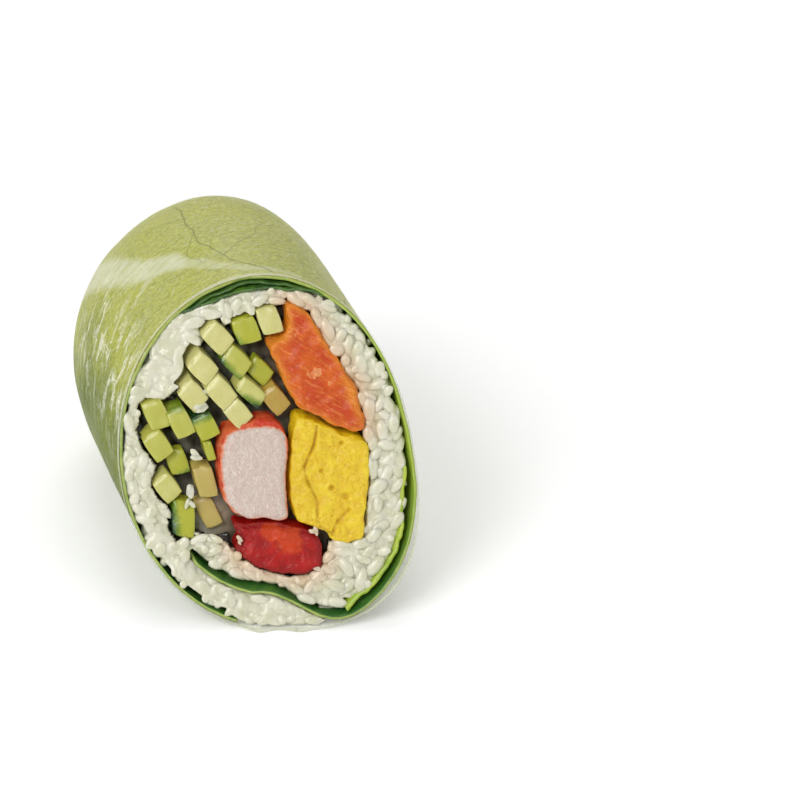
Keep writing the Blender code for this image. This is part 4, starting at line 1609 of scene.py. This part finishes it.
@dataclass
class CucumberBundle:
    """The cucumber sticks, one piece for each."""

    looks: tuple = (
        StickLook(Flesh.CREAM, 222.0, 0.62, (0.9, -0.2)),
        StickLook(Flesh.GREEN, 240.0, 0.80),
        StickLook(Flesh.CREAM, 90.0, 0.42),
        StickLook(Flesh.YELLOW_GREEN, 218.0, 0.92, (0.6, -0.7)),
        StickLook(Flesh.CREAM, 120.0, 0.50, (0.7, -1.2)),
        StickLook(Flesh.GREEN, 100.0, 0.86, (0.3, -1.0)),
        StickLook(Flesh.CREAM, 220.0, 0.50, (0.7, -1.1)),
        StickLook(Flesh.CREAM, 320.0, 0.46, (0.4, -0.9)),
        StickLook(Flesh.PALE, 250.0, 0.90, (0.3, -0.7)),
        StickLook(Flesh.BROWN, 20.0, 0.30),
        StickLook(Flesh.CREAM, 210.0, 0.40, (0.5, -0.9)),
        StickLook(Flesh.YELLOW_GREEN, 290.0, 0.52, (0.8, -0.2)),
        StickLook(Flesh.YELLOW_GREEN, 100.0, 0.74),
        StickLook(Flesh.GREEN, 110.0, 0.88),
        StickLook(Flesh.GREEN, 60.0, 0.60),
        StickLook(Flesh.YELLOW_GREEN, 60.0, 0.45),
        StickLook(Flesh.GREEN, 300.0, 0.80),
        StickLook(Flesh.PALE, 280.0, 0.50),
        StickLook(Flesh.BEIGE, 0.0, 0.0),
        StickLook(Flesh.GREEN, 178.0, 0.98),
        StickLook(Flesh.BEIGE, 0.0, 0.0),
        StickLook(Flesh.BROWN, 0.0, 0.0),
    )
    face_steps: int = 14
    crown: float = 0.14 * MM
    worn: float = 0.22 * MM
    wobble: float = 0.16 * MM
    bow: float = 0.06
    barrel: float = 0.0836
    drift_end: float = 34.0
    fullness: float = 1.08
    lengthwise: tuple = (0.25, 0.6, 1.1, 1.8, 2.8, 4.5, 7.0, 11.0, 17.0, 25.0, 34.0)

    def build(self) -> None:
        """Builds and dresses every stick."""
        for number, look in enumerate(self.looks, start=1):
            self.stick(f"cucumber_{number:02d}", look, number)

    def measure(self, node: str) -> tuple[np.ndarray, np.ndarray, np.ndarray, float, float]:
        """Reads a stick's middle, half sides, set-back and end from its solid.

        Args:
            node: The solid's name.

        Returns:
            The middle across the roll, its two half sides as vectors across the roll, how far
            its front lies ahead of the cut along the roll, and where it ends.
        """
        spots = rows_of(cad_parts[node].data) - FORM.middle
        end = spots[:, 1].max()
        back = spots[spots[:, 1] > end - FINEST][:, [0, 2]]
        middle = (back.max(0) + back.min(0)) / 2.0
        ring = np.array(sorted({(round(x, 7), round(z, 7)) for x, z in back}, key=lambda spot:
                        math.atan2(spot[1] - middle[1], spot[0] - middle[0])))
        edges = np.roll(ring, -1, axis=0) - ring
        along = edges[np.argmax(np.linalg.norm(edges, axis=1))]
        along /= np.linalg.norm(along)
        beside = np.array([-along[1], along[0]])
        low_a, high_a = (ring @ along).min(), (ring @ along).max()
        low_b, high_b = (ring @ beside).min(), (ring @ beside).max()
        middle = along * (low_a + high_a) / 2.0 + beside * (low_b + high_b) / 2.0
        front = spots[spots[:, 1] < end - 5 * MM]
        ahead = (FORM.cut_y(front[:, 0], front[:, 2]) - front[:, 1]).mean()
        return (middle, along * (high_a - low_a) / 2.0, beside * (high_b - low_b) / 2.0, ahead, end)

    def drawn(self, builder: bmesh.types.BMesh) -> tuple[dict, dict]:
        """Adds a square face, draws its edge back in steps and closes the far end.

        Args:
            builder: The bmesh to add to.

        Returns:
            Each vertex's place on the face, from -1 to 1 both ways, and its distance behind
            the face in millimetres, None at the far end.
        """
        face = bmesh.ops.create_grid(builder, x_segments=self.face_steps,
                                     y_segments=self.face_steps, size=1.0)["verts"]
        shares = {}
        for vertex in face:
            u, v = vertex.co.x, vertex.co.y
            shares[vertex] = (u * (1.0 - self.barrel * v * v), v * (1.0 - self.barrel * u * u))
        depths = dict.fromkeys(face, 0.0)
        rings = [edge for edge in builder.edges if edge.is_boundary]
        for step in self.lengthwise + (None,):
            made = bmesh.ops.extrude_edge_only(builder, edges=rings)["geom"]
            fresh = [item for item in made if isinstance(item, bmesh.types.BMVert)]
            for vertex in fresh:
                partner = min((edge.other_vert(vertex) for edge in vertex.link_edges
                               if edge.other_vert(vertex) in shares), key=lambda other:
                              (other.co - vertex.co).length)
                shares[vertex] = shares[partner]
                depths[vertex] = step
            rings = [item for item in made if isinstance(item, bmesh.types.BMEdge)
                     and item.verts[0] in fresh and item.verts[1] in fresh]
        bmesh.ops.contextual_create(builder, geom=rings)
        return shares, depths

    def stick(self, node: str, look: StickLook, seed: int) -> None:
        """Builds and dresses one stick, with a crowned face, worn edges and a slight bow.

        Args:
            node: The solid that it stands for.
            look: Its flesh and skin.
            seed: Chooses its small unevenness.
        """
        middle, side, rise, ahead, end = self.measure(node)
        builder = bmesh.new()
        skin_layer = builder.verts.layers.float.new("skin")
        shares, depths = self.drawn(builder)
        turn = math.radians(look.skin_turn)
        toward = np.array([math.cos(turn), math.sin(turn)])
        reach = abs(side @ toward) + abs(rise @ toward)
        for vertex, (u, v) in shares.items():
            depth, edge = depths[vertex], max(abs(u), abs(v))
            flat = middle + (side * u + rise * v) * self.fullness
            if depth is not None:
                flat = flat + np.array(look.drift) * MM * (1.0 - depth / self.drift_end)
            wobble = noise.noise(Vector((flat[0], flat[1], seed * MM)) / (2.2 * MM)) * self.wobble
            y = FORM.cut_y(flat[0], flat[1]) - ahead
            if depth is None:
                y = end
            elif depth > 0.0:
                y += depth * MM
                bow = noise.noise(Vector((flat[0] / (6 * MM), seed * 1.7, depth / 9.0)))
                flat = flat + (flat - middle) * bow * self.bow
            else:
                y -= self.crown * (1.0 - edge ** 2) + wobble
                y += self.worn * float(smooth_step(edge, 0.82, 1.0))
                if edge > 0.99:
                    flat = middle + (flat - middle) * 0.94
            vertex.co = Vector((flat[0], y, flat[1])) + Vector(FORM.middle)
            near = ((flat - middle) @ toward) / reach
            vertex[skin_layer] = look.skin * max(0.5 + 0.5 * near, 0.0) ** 1.2
        bmesh.ops.recalc_face_normals(builder, faces=builder.faces[:])
        mesh = new_mesh(f"{node}_stick", builder)
        for name, value in zip(("tint", "brown"), look.flesh.value):
            store(mesh, name, np.full(len(mesh.vertices), value))
        add_piece(f"{node}_stick", mesh, [CucumberFinish()], [node])


@dataclass
class RicePack:
    """The rice: its body, the grains that show on the cut, and the closed end."""

    length: float = 5.7 * MM
    width: float = 2.7 * MM
    spacing: float = 2.1 * MM
    single_share: float = 1.3
    voxel: float = 0.3 * MM
    seed: int = 21
    tries: int = 12000
    slab: tuple = (0.75 * MM, 5.6 * MM)
    mass_layers: tuple = (-1.25, -3.2)
    mass_room: float = 0.25 * MM
    single_layer: float = -0.7
    single_room: float = 0.55 * MM
    rim_depth: float = 1.35
    fold_rooms: tuple = ((2.6, 88.0, 34.0), (2.3, 318.0, 38.0), (1.3, 352.0, 15.0))
    nearer_wrap: tuple = ((190.0, 250.0, 0.25), (250.0, 284.0, 0.85))
    tail_turns: tuple = (224.0, 300.0)
    gap_faces: tuple = (110, 130)
    tail_room: tuple = (0.7 * MM, 0.9 * MM)
    sunk: float = 2.2 * MM
    gap_level: float = 3.3 * MM
    trench: float = 1.9 * MM
    bulge: float = 1.3 * MM
    smallest: float = 0.75
    floor_room: float = 0.25 * MM
    end_depth: float = 1.75 * MM
    sunk_end: float = 0.9 * MM
    filled: tuple = (
        (2.9, 33.9), (9.0, 32.0), (11.6, 26.2), (15.0, 21.0), (16.6, 15.6), (19.8, 12.4),
        (21.5, 5.8), (22.1, -1.4), (21.8, -9.4), (20.5, -16.0), (20.1, -19.2), (13.2, -18.6),
        (12.6, -22.0), (11.2, -25.2), (4.6, -26.5), (-2.6, -24.6), (-6.6, -21.2), (-9.3, -19.0),
        (-13.4, -17.6), (-17.0, -16.4), (-20.4, -18.8), (-22.2, -16.0), (-21.9, -11.2),
        (-24.4, -9.4), (-26.0, -6.6), (-25.0, -2.0), (-28.0, 1.8), (-29.4, 5.8), (-27.4, 10.8),
        (-23.6, 12.0), (-20.6, 14.6), (-17.6, 17.0), (-17.2, 20.4), (-15.8, 23.6), (-14.0, 26.4),
        (-9.4, 29.0), (-2.4, 31.2))
    lump_size: float = 1.7 * MM
    lump_height: float = 0.32 * MM
    crumbs: tuple = ((-15.1, 10.7, 0.5), (-16.4, 0.3, 0.45), (-17.7, -7.8, 0.5),
                     (-17.3, -10.7, 0.4), (-6.3, -18.6, 0.3), (9.8, -16.8, 0.35),
                     (9.8, -24.1, 0.45), (-13.2, 14.0, 0.35))
    fillings: tuple = ("salmon", "egg", "crab_stick", "tomato")

    def build(self) -> None:
        """Builds and dresses all the rice."""
        chance = random.Random(self.seed)
        self.body()
        self.between()
        self.mass(chance)
        self.single_grains(chance)
        self.end_grains(random.Random(self.seed + 1))

    @cached_property
    def obstacles(self) -> BVHTree:
        """The fillings' solids as one shape, to keep the grains clear of them.

        Returns:
            The shape, ready for distances.
        """
        builder = bmesh.new()
        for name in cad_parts:
            if name in self.fillings or name.startswith("cucumber"):
                builder = joined(builder, node_copy(name))
        bmesh.ops.recalc_face_normals(builder, faces=builder.faces[:])
        tree = BVHTree.FromBMesh(builder)
        builder.free()
        return tree

    def clear_of_fillings(self, spot: np.ndarray, room: float) -> bool:
        """Whether a point lies outside every filling, with room to spare."""
        near, normal, _, distance = self.obstacles.find_nearest(Vector(spot))
        return distance > room and (Vector(spot) - near).dot(normal) > 0.0

    def among_fillings(self, spots: np.ndarray) -> np.ndarray:
        """Whether each point lies within the line round all the fillings.

        Args:
            spots: The points.

        Returns:
            One truth value for each point.
        """
        face = FORM.face(spots)
        line = np.array(self.filled)
        inside = np.zeros(len(face), bool)
        for (x, y), (next_x, next_y) in zip(line, np.roll(line, -1, axis=0)):
            crosses = (face[:, 1] < y) != (face[:, 1] < next_y)
            slope = (next_x - x) / (next_y - y) if next_y != y else 0.0
            inside ^= crosses & (face[:, 0] < x + slope * (face[:, 1] - y))
        return inside

    def wrap_depth(self, turn: float) -> float:
        """Depth at which the rice starts inside the wrap.

        Args:
            turn: The turn round the roll, in degrees.

        Returns:
            The depth below the roll's outline.
        """
        depth = self.rim_depth
        for height, middle, half in self.fold_rooms:
            depth += height * float(hump(turn, middle, half))
        for low, high, nearer in self.nearer_wrap:
            depth -= nearer if low < turn <= high else 0.0
        return depth * MM

    def above_tail(self, spots: np.ndarray) -> np.ndarray:
        """How far each point lies inside the leaf's tail, far off where there is no tail.

        Args:
            spots: The points.

        Returns:
            The distances, below 0 outside the tail.
        """
        turns, depths, _ = FORM.section(spots)
        tail = Wrap.tail_depth * (1.0 - smooth_step(turns, *Wrap.tail_rise)) + self.tail_room[0]
        low, high = self.tail_turns
        return np.where((turns > low) & (turns < high), depths - tail, 99.0 * MM)

    def in_rice(self, spot: np.ndarray, wrap_room: float, filling_room: float) -> bool:
        """Whether a grain may lie here: inside the wrap, off the leaf's tail and the fillings.

        Args:
            spot: The point.
            wrap_room: Its least distance from the wrap.
            filling_room: Its least distance from a filling.

        Returns:
            Whether there is room.
        """
        turns, depths, _ = FORM.section(spot)
        if float(depths[0]) < self.wrap_depth(float(turns[0])) + wrap_room:
            return False
        under, over = self.tail_room
        if -under - wrap_room < self.above_tail(spot)[0] < over + wrap_room:
            return False
        return not self.among_fillings(spot)[0] and self.clear_of_fillings(spot, filling_room)

    def body(self) -> None:
        """The rice deeper in the roll, where nothing of it shows on the cut."""
        builder = node_copy("rice")
        sliced(builder, self.slab[1] - 0.8 * MM, keep_front=False)
        mesh = new_mesh("rice_body", builder)
        spots = rows_of(mesh)
        at_end = smooth_step(spots[:, 1] - FORM.middle[1], 55 * MM, 70 * MM)
        move_to(mesh, spots - rows_of(mesh, "normal") * (self.sunk_end * at_end)[:, None])
        store(mesh, "reflected_tint", np.zeros(len(mesh.vertices)))
        add_piece("rice_body", mesh, [RiceFinish()], ["rice"])

    def add_grain(self, builder: bmesh.types.BMesh, middle: np.ndarray, along: np.ndarray,
                  size: float) -> None:
        """Adds one grain, a little thicker at one end.

        Args:
            builder: The bmesh to add to.
            middle: The grain's middle.
            along: Its direction.
            size: Its size against the usual one.
        """
        made = bmesh.ops.create_icosphere(builder, subdivisions=2, radius=1.0)["verts"]
        for vertex in made:
            taper = 1.0 + 0.14 * vertex.co.z
            vertex.co.x *= taper
            vertex.co.y *= taper
        turn = Vector(along).to_track_quat("Z", "Y").to_matrix().to_4x4()
        half = Matrix.Diagonal((self.width * size / 2, self.width * size / 2,
                                self.length * size / 2, 1.0))
        bmesh.ops.transform(builder, matrix=Matrix.Translation(Vector(middle)) @ turn @ half,
                            verts=made)

    def scatter(self, chance: random.Random, out: float, spacing: float, room: float) -> list:
        """Chooses places for grains that lie about as deep as each other.

        Args:
            chance: The source of random numbers.
            out: How far out of the cut they lie, in millimetres.
            spacing: The least distance between their middles.
            room: How far their ends stay off the wrap.

        Returns:
            The middle, direction and size of each grain.
        """
        placed, grains = np.zeros((0, 3)), []
        for _ in range(self.tries):
            across, up = chance.uniform(-40, 40), chance.uniform(-44, 44)
            spot = FORM.face_point(across, up, out + chance.uniform(-0.45, 0.35))
            lie, lean = chance.uniform(0.0, math.pi), chance.uniform(-0.45, 0.45)
            size = chance.uniform(0.75, 1.15)
            if len(placed) and np.linalg.norm(placed - spot, axis=1).min() < spacing:
                continue
            if not self.in_rice(spot, room + 0.3 * MM, 0.7 * MM):
                continue
            along = (FORM.axes[0] * math.cos(lie) + FORM.axes[1] * math.sin(lie)) \
                * math.cos(lean) + FORM.axes[2] * math.sin(lean)
            half = self.length * size * 0.34
            beside = np.cross(FORM.axes[2], along)
            for way in (along, beside, 0.6 * along + 0.8 * FORM.axes[2]):
                if self.in_rice(spot + way * half, room, 0.4 * MM) \
                        and self.in_rice(spot - way * half, room, 0.4 * MM):
                    break
            else:
                way, size = 0.4 * along + 0.9 * FORM.axes[2], size * 0.65
            placed = np.vstack([placed, spot])
            grains.append((spot, way, size))
        REPORT.info("grains %.1f mm out of the cut: %d", out, len(grains))
        return grains

    def mass(self, chance: random.Random) -> None:
        """The sticky mass of rice that shows on the cut.

        Args:
            chance: The source of random numbers.
        """
        builder = bmesh.new()
        for layer in self.mass_layers:
            for grain in self.scatter(chance, layer, self.spacing, self.mass_room):
                self.add_grain(builder, *grain)
        slab = node_copy("rice")
        sliced(slab, self.slab[0], keep_front=False)
        sliced(slab, self.slab[1], keep_front=True)
        mass = new_mesh("rice_mass", voxel_mesh(joined(builder, slab), self.voxel))
        spots = rows_of(mass)
        out = FORM.face(spots)[:, 2]
        lumps = ripple(spots, self.lump_size, 4.0) * self.lump_height
        inside = self.among_fillings(spots)
        above = self.above_tail(spots)
        low = (1.0 - smooth_step(above, 0.6 * MM, 2.0 * MM)) * (above > -0.5 * MM)
        lumps = lumps - self.sunk * inside - self.trench * low
        near = smooth_step(out, -5.5, -1.5)
        turns, depths, _ = FORM.section(spots)
        bulge = np.maximum(hump(turns, 262.0, 30.0), 1.15 * hump(turns, 226.0, 46.0))
        bulge = bulge * (1.0 - smooth_step(depths, 3.0 * MM, 7.0 * MM)) * near
        spots[:, 1] -= bulge * self.bulge
        # Rice sunk among the fillings is painted dark as their shade.
        self.finish_rice(mass, spots + FORM.axes[2] * (lumps * near)[:, None], inside * near)

    def single_grains(self, chance: random.Random) -> None:
        """Single grains that stand on the mass, and crumbs on the fillings.

        Args:
            chance: The source of random numbers.
        """
        builder = bmesh.new()
        spacing = self.spacing * self.single_share
        for spot, along, size in self.scatter(chance, self.single_layer, spacing, self.single_room):
            if size > self.smallest and chance.random() > 0.85 * self.pressed(spot)[0]:
                self.add_grain(builder, spot, along, size)
        for across, up, size in self.crumbs:
            for _ in range(2):
                lie = chance.uniform(0.0, math.pi)
                along = FORM.axes[0] * math.cos(lie) + FORM.axes[1] * math.sin(lie)
                spot = FORM.face_point(across + chance.uniform(-0.6, 0.6),
                                       up + chance.uniform(-0.6, 0.6), 0.0)
                self.add_grain(builder, spot, along, size * chance.uniform(0.9, 1.3))
        single = new_mesh("rice_grains", builder)
        spots = rows_of(single)
        dents = np.stack([ripple(spots, 1.3 * MM, seed) for seed in (1.0, 2.0, 3.0)], axis=1)
        self.finish_rice(single, spots + dents * 0.22 * MM, np.zeros(len(spots)))

    def between(self) -> None:
        """Squashed rice deep in the gaps between the fillings, painted nearly black as the shade
        there.
        """
        def place(columns: np.ndarray, rows: np.ndarray) -> np.ndarray:
            """Places of the filler.

            Args:
                columns: Shares of its width.
                rows: Shares of its height.

            Returns:
                Rows of points and empty places on a sheet, as mapped_grid wants them.
            """
            line = np.array(self.filled)
            low, high = line.min(0), line.max(0)
            across = low[0] + (high[0] - low[0]) * columns
            up = low[1] + (high[1] - low[1]) * rows
            flat = np.stack([across, up, np.full_like(up, -self.gap_level / MM)], axis=1)
            points = FORM.middle + flat * MM @ FORM.axes
            lift = ripple(points, 2.2 * MM, 15.0, 2) * 0.5 * MM
            return np.hstack([points + FORM.axes[2] * lift[:, None], np.zeros_like(points)])

        builder = bmesh.new()
        mapped_grid(builder, *self.gap_faces, place)
        spots = np.array([vertex.co[:] for vertex in builder.verts])
        outside = ~self.among_fillings(spots)
        gone = [vertex for vertex, out in zip(builder.verts, outside) if out]
        bmesh.ops.delete(builder, geom=gone, context="VERTS")
        mesh = new_mesh("shaded_gap_rice", builder)
        if mesh.polygons[0].normal.dot(Vector(FORM.axes[2])) < 0.0:
            mesh.flip_normals()
        spots = rows_of(mesh)
        store(mesh, "reflected_tint", self.reflected_tint_at(spots))
        face = FORM.face(spots)
        # Less painted shade in one lighter brown patch low on the left.
        near = np.hypot((face[:, 0] + 13.0) / 1.2, (face[:, 1] + 13.0) / 1.6)
        lit = 0.4 * (1.0 - smooth_step(near, 1.5, 5.0))
        store(mesh, "painted_shade", 0.92 - lit + 0.12 * ripple(spots, 3.0 * MM, 16.0))
        dull = RiceFinish("shaded_rice", gloss=0.03, softness=0.0)
        thicken(add_piece("shaded_gap_rice", mesh, [dull], ["rice"]), 1.2 * MM)

    def finish_rice(self, mesh: bpy.types.Mesh, spots: np.ndarray, painted_shade: np.ndarray) -> None:
        """Trims rice at the cut, colours it and adds it to the scene.

        Args:
            mesh: The rice's mesh.
            spots: New places of its vertices.
            painted_shade: How dark each vertex is painted, as the shade in the gaps between the
                fillings.
        """
        spots = self.off_floor(self.knife_cut(spots))
        move_to(mesh, spots)
        store(mesh, "reflected_tint", self.reflected_tint_at(spots))
        store(mesh, "painted_shade", painted_shade)
        add_piece(mesh.name, mesh, [RiceFinish()], ["rice"])

    def off_floor(self, spots: np.ndarray) -> np.ndarray:
        """Lifts points that lie too low to the sheet's own height over the floor.

        Args:
            spots: The points.

        Returns:
            The points, none of them lower than the inside of the paper.
        """
        lifted = spots.copy()
        lifted[:, 2] = np.maximum(lifted[:, 2], self.floor_room)
        return lifted

    @staticmethod
    def pressed(spots: np.ndarray) -> np.ndarray:
        """How flat the knife has pressed the rice at each point, most at the upper left."""
        return hump(FORM.section(spots)[0], 125.0, 75.0)

    def knife_cut(self, spots: np.ndarray) -> np.ndarray:
        """Presses down what stands too far out of the cut, most at the upper left.

        Args:
            spots: The points.

        Returns:
            The points after the knife.
        """
        out = FORM.face(spots)[:, 2]
        pressed = self.pressed(spots)
        limit = 1.15 - 0.85 * pressed
        start = -0.25 - 0.35 * pressed
        over = np.maximum(out - start, 0.0)
        lowered = start + limit * (1.0 - np.exp(-over / limit))
        lowered = np.where(out > start, lowered, out)
        return spots + FORM.axes[2] * ((lowered - out) * MM)[:, None]

    def reflected_tint_at(self, spots: np.ndarray) -> np.ndarray:
        """How strongly the painted orange reflection of the fish and tomato tints the rice at each
        point, from 0 to 1.

        Args:
            spots: The points.

        Returns:
            The strength at each point.
        """
        builder = joined(node_copy("tomato"), node_copy("salmon"))
        tree = BVHTree.FromBMesh(builder)
        builder.free()
        distance = np.array([tree.find_nearest(Vector(spot))[3] for spot in spots])
        return 1.0 - smooth_step(distance, 0.6 * MM, 5.5 * MM)

    def end_grains(self, chance: random.Random) -> None:
        """The grains that show through the paper where the leaf leaves them bare.

        Args:
            chance: The source of random numbers.
        """
        builder = bmesh.new()
        placed = np.zeros((0, 3))
        for _ in range(self.tries):
            if chance.random() < 0.3:
                turn, reach = chance.uniform(249.0, 287.0), chance.uniform(0.03, 1.6)
            else:
                turn = chance.uniform(0.0, 360.0)
                reach = 2.0 - 0.2 * math.sqrt(chance.random())
            lie = chance.uniform(0.0, math.pi)
            size = chance.uniform(0.85, 1.1)
            ring = np.array([turn])
            deep = self.end_depth + FORM.tuck(ring, np.array([reach]))
            spot = FORM.layer(ring, deep, np.array([reach]))[0]
            if len(placed) and np.linalg.norm(placed - spot, axis=1).min() < self.spacing:
                continue
            beside = FORM.layer(ring + 2.0, deep, np.array([reach]))[0] - spot
            back = FORM.layer(ring, deep, np.array([reach - 0.03]))[0] - spot
            if np.linalg.norm(beside) < FINEST or np.linalg.norm(back) < FINEST:
                continue
            along = beside / np.linalg.norm(beside) * math.cos(lie) \
                + back / np.linalg.norm(back) * math.sin(lie)
            placed = np.vstack([placed, spot])
            self.add_grain(builder, spot, along, size)
        REPORT.info("grains under the paper: %d", len(placed))
        builder = voxel_mesh(builder, 0.45 * MM)
        mesh = new_mesh("rice_end_grains", builder)
        move_to(mesh, self.off_floor(rows_of(mesh)))
        store(mesh, "reflected_tint", np.zeros(len(mesh.vertices)))
        add_piece("rice_end_grains", mesh, [RiceFinish()], ["rice"])


@dataclass
class Studio:
    """The white floor, the soft lights and the camera."""

    focal_pixels: float = 2954.0
    picture_pixels: float = 800.0
    sensor: float = 36.0
    aim: tuple = (28.9, 12.4, 650.0)
    daylight: float = 0.45
    lamps: tuple = (
        ("key", (-0.55, -0.30, 0.62), 0.5, 4.0), ("fill", (0.55, -0.55, 0.45), 0.6, 1.5),
        ("back", (0.15, 0.50, 0.70), 0.5, 2.2), ("side", (-0.80, 0.20, 0.30), 0.5, 0.7))

    def build(self) -> None:
        """Sets up floor, light and camera."""
        self.floor()
        self.sky()
        for lamp in self.lamps:
            self.lamp(*lamp)
        self.camera()

    def floor(self) -> None:
        """A wide white floor."""
        builder = bmesh.new()
        bmesh.ops.create_grid(builder, x_segments=1, y_segments=1, size=3.0)
        mesh = bpy.data.meshes.new("floor")
        builder.to_mesh(mesh)
        builder.free()
        made = bpy.data.objects.new("floor", mesh)
        bpy.context.scene.collection.objects.link(made)
        mesh.materials.append(FloorFinish("floor").material())

    def sky(self) -> None:
        """Even white light from all round."""
        world = bpy.data.worlds.new("studio")
        world.use_nodes = True
        backdrop = world.node_tree.nodes["Background"]
        backdrop.inputs["Color"].default_value = (1.0, 1.0, 1.0, 1.0)
        backdrop.inputs["Strength"].default_value = self.daylight
        bpy.context.scene.world = world
        bpy.context.scene.view_settings.view_transform = "Standard"

    def lamp(self, name: str, place: Sequence[float], size: float, power: float) -> None:
        """One square soft light that looks at the roll.

        Args:
            name: The light's name.
            place: Where it stands.
            size: Its side.
            power: Its power in watts.
        """
        light = bpy.data.lights.new(name, "AREA")
        light.size = size
        light.energy = power
        made = bpy.data.objects.new(name, light)
        made.location = place
        aim = Vector(FORM.middle) - Vector(place)
        made.rotation_euler = aim.to_track_quat("-Z", "Y").to_euler()
        bpy.context.scene.collection.objects.link(made)

    def camera(self) -> None:
        """The camera, which looks straight at the cut."""
        lens = bpy.data.cameras.new("camera")
        lens.sensor_width = self.sensor
        lens.lens = self.focal_pixels / self.picture_pixels * self.sensor
        lens.clip_start = 0.05
        made = bpy.data.objects.new("camera", lens)
        axes = FORM.axes
        turn = Matrix([[axes[row][column] for row in range(3)] for column in range(3)]).to_4x4()
        made.matrix_world = Matrix.Translation(Vector(FORM.face_point(*self.aim))) @ turn
        bpy.context.scene.collection.objects.link(made)
        bpy.context.scene.camera = made


@dataclass(frozen=True)
class FloorFinish(Finish):
    """A plain white floor, a little uneven in gloss."""

    def paint(self, board: Board) -> dict[str, Value]:
        """Paints the floor.

        Args:
            board: The material's nodes.

        Returns:
            The shader's inputs, as Finish.paint says.
        """
        where = board.node("TexCoord").outputs["Object"]
        cloud = board.node("TexNoise", {"Vector": where, "Scale": 4.0}).outputs[0]
        tone = board.mix(cloud, (0.93, 0.93, 0.93), (0.95, 0.95, 0.95))
        return {
            "Base Color": tone,
            "Roughness": 0.9, "Specular IOR Level": 0.1, "Emission Color": (1.0, 1.0, 1.0, 1.0),
            "Emission Strength": 0.12}


def main() -> None:
    """Builds the studio and every piece of the half roll."""
    logging.basicConfig(level=logging.INFO, format="%(message)s")
    Studio().build()
    Wrap().build()
    for filling in (Salmon(), Egg(), CrabStick(), Tomato()):
        filling.build()
    CucumberBundle().build()
    RicePack().build()


if __name__ == "__main__":
    main()
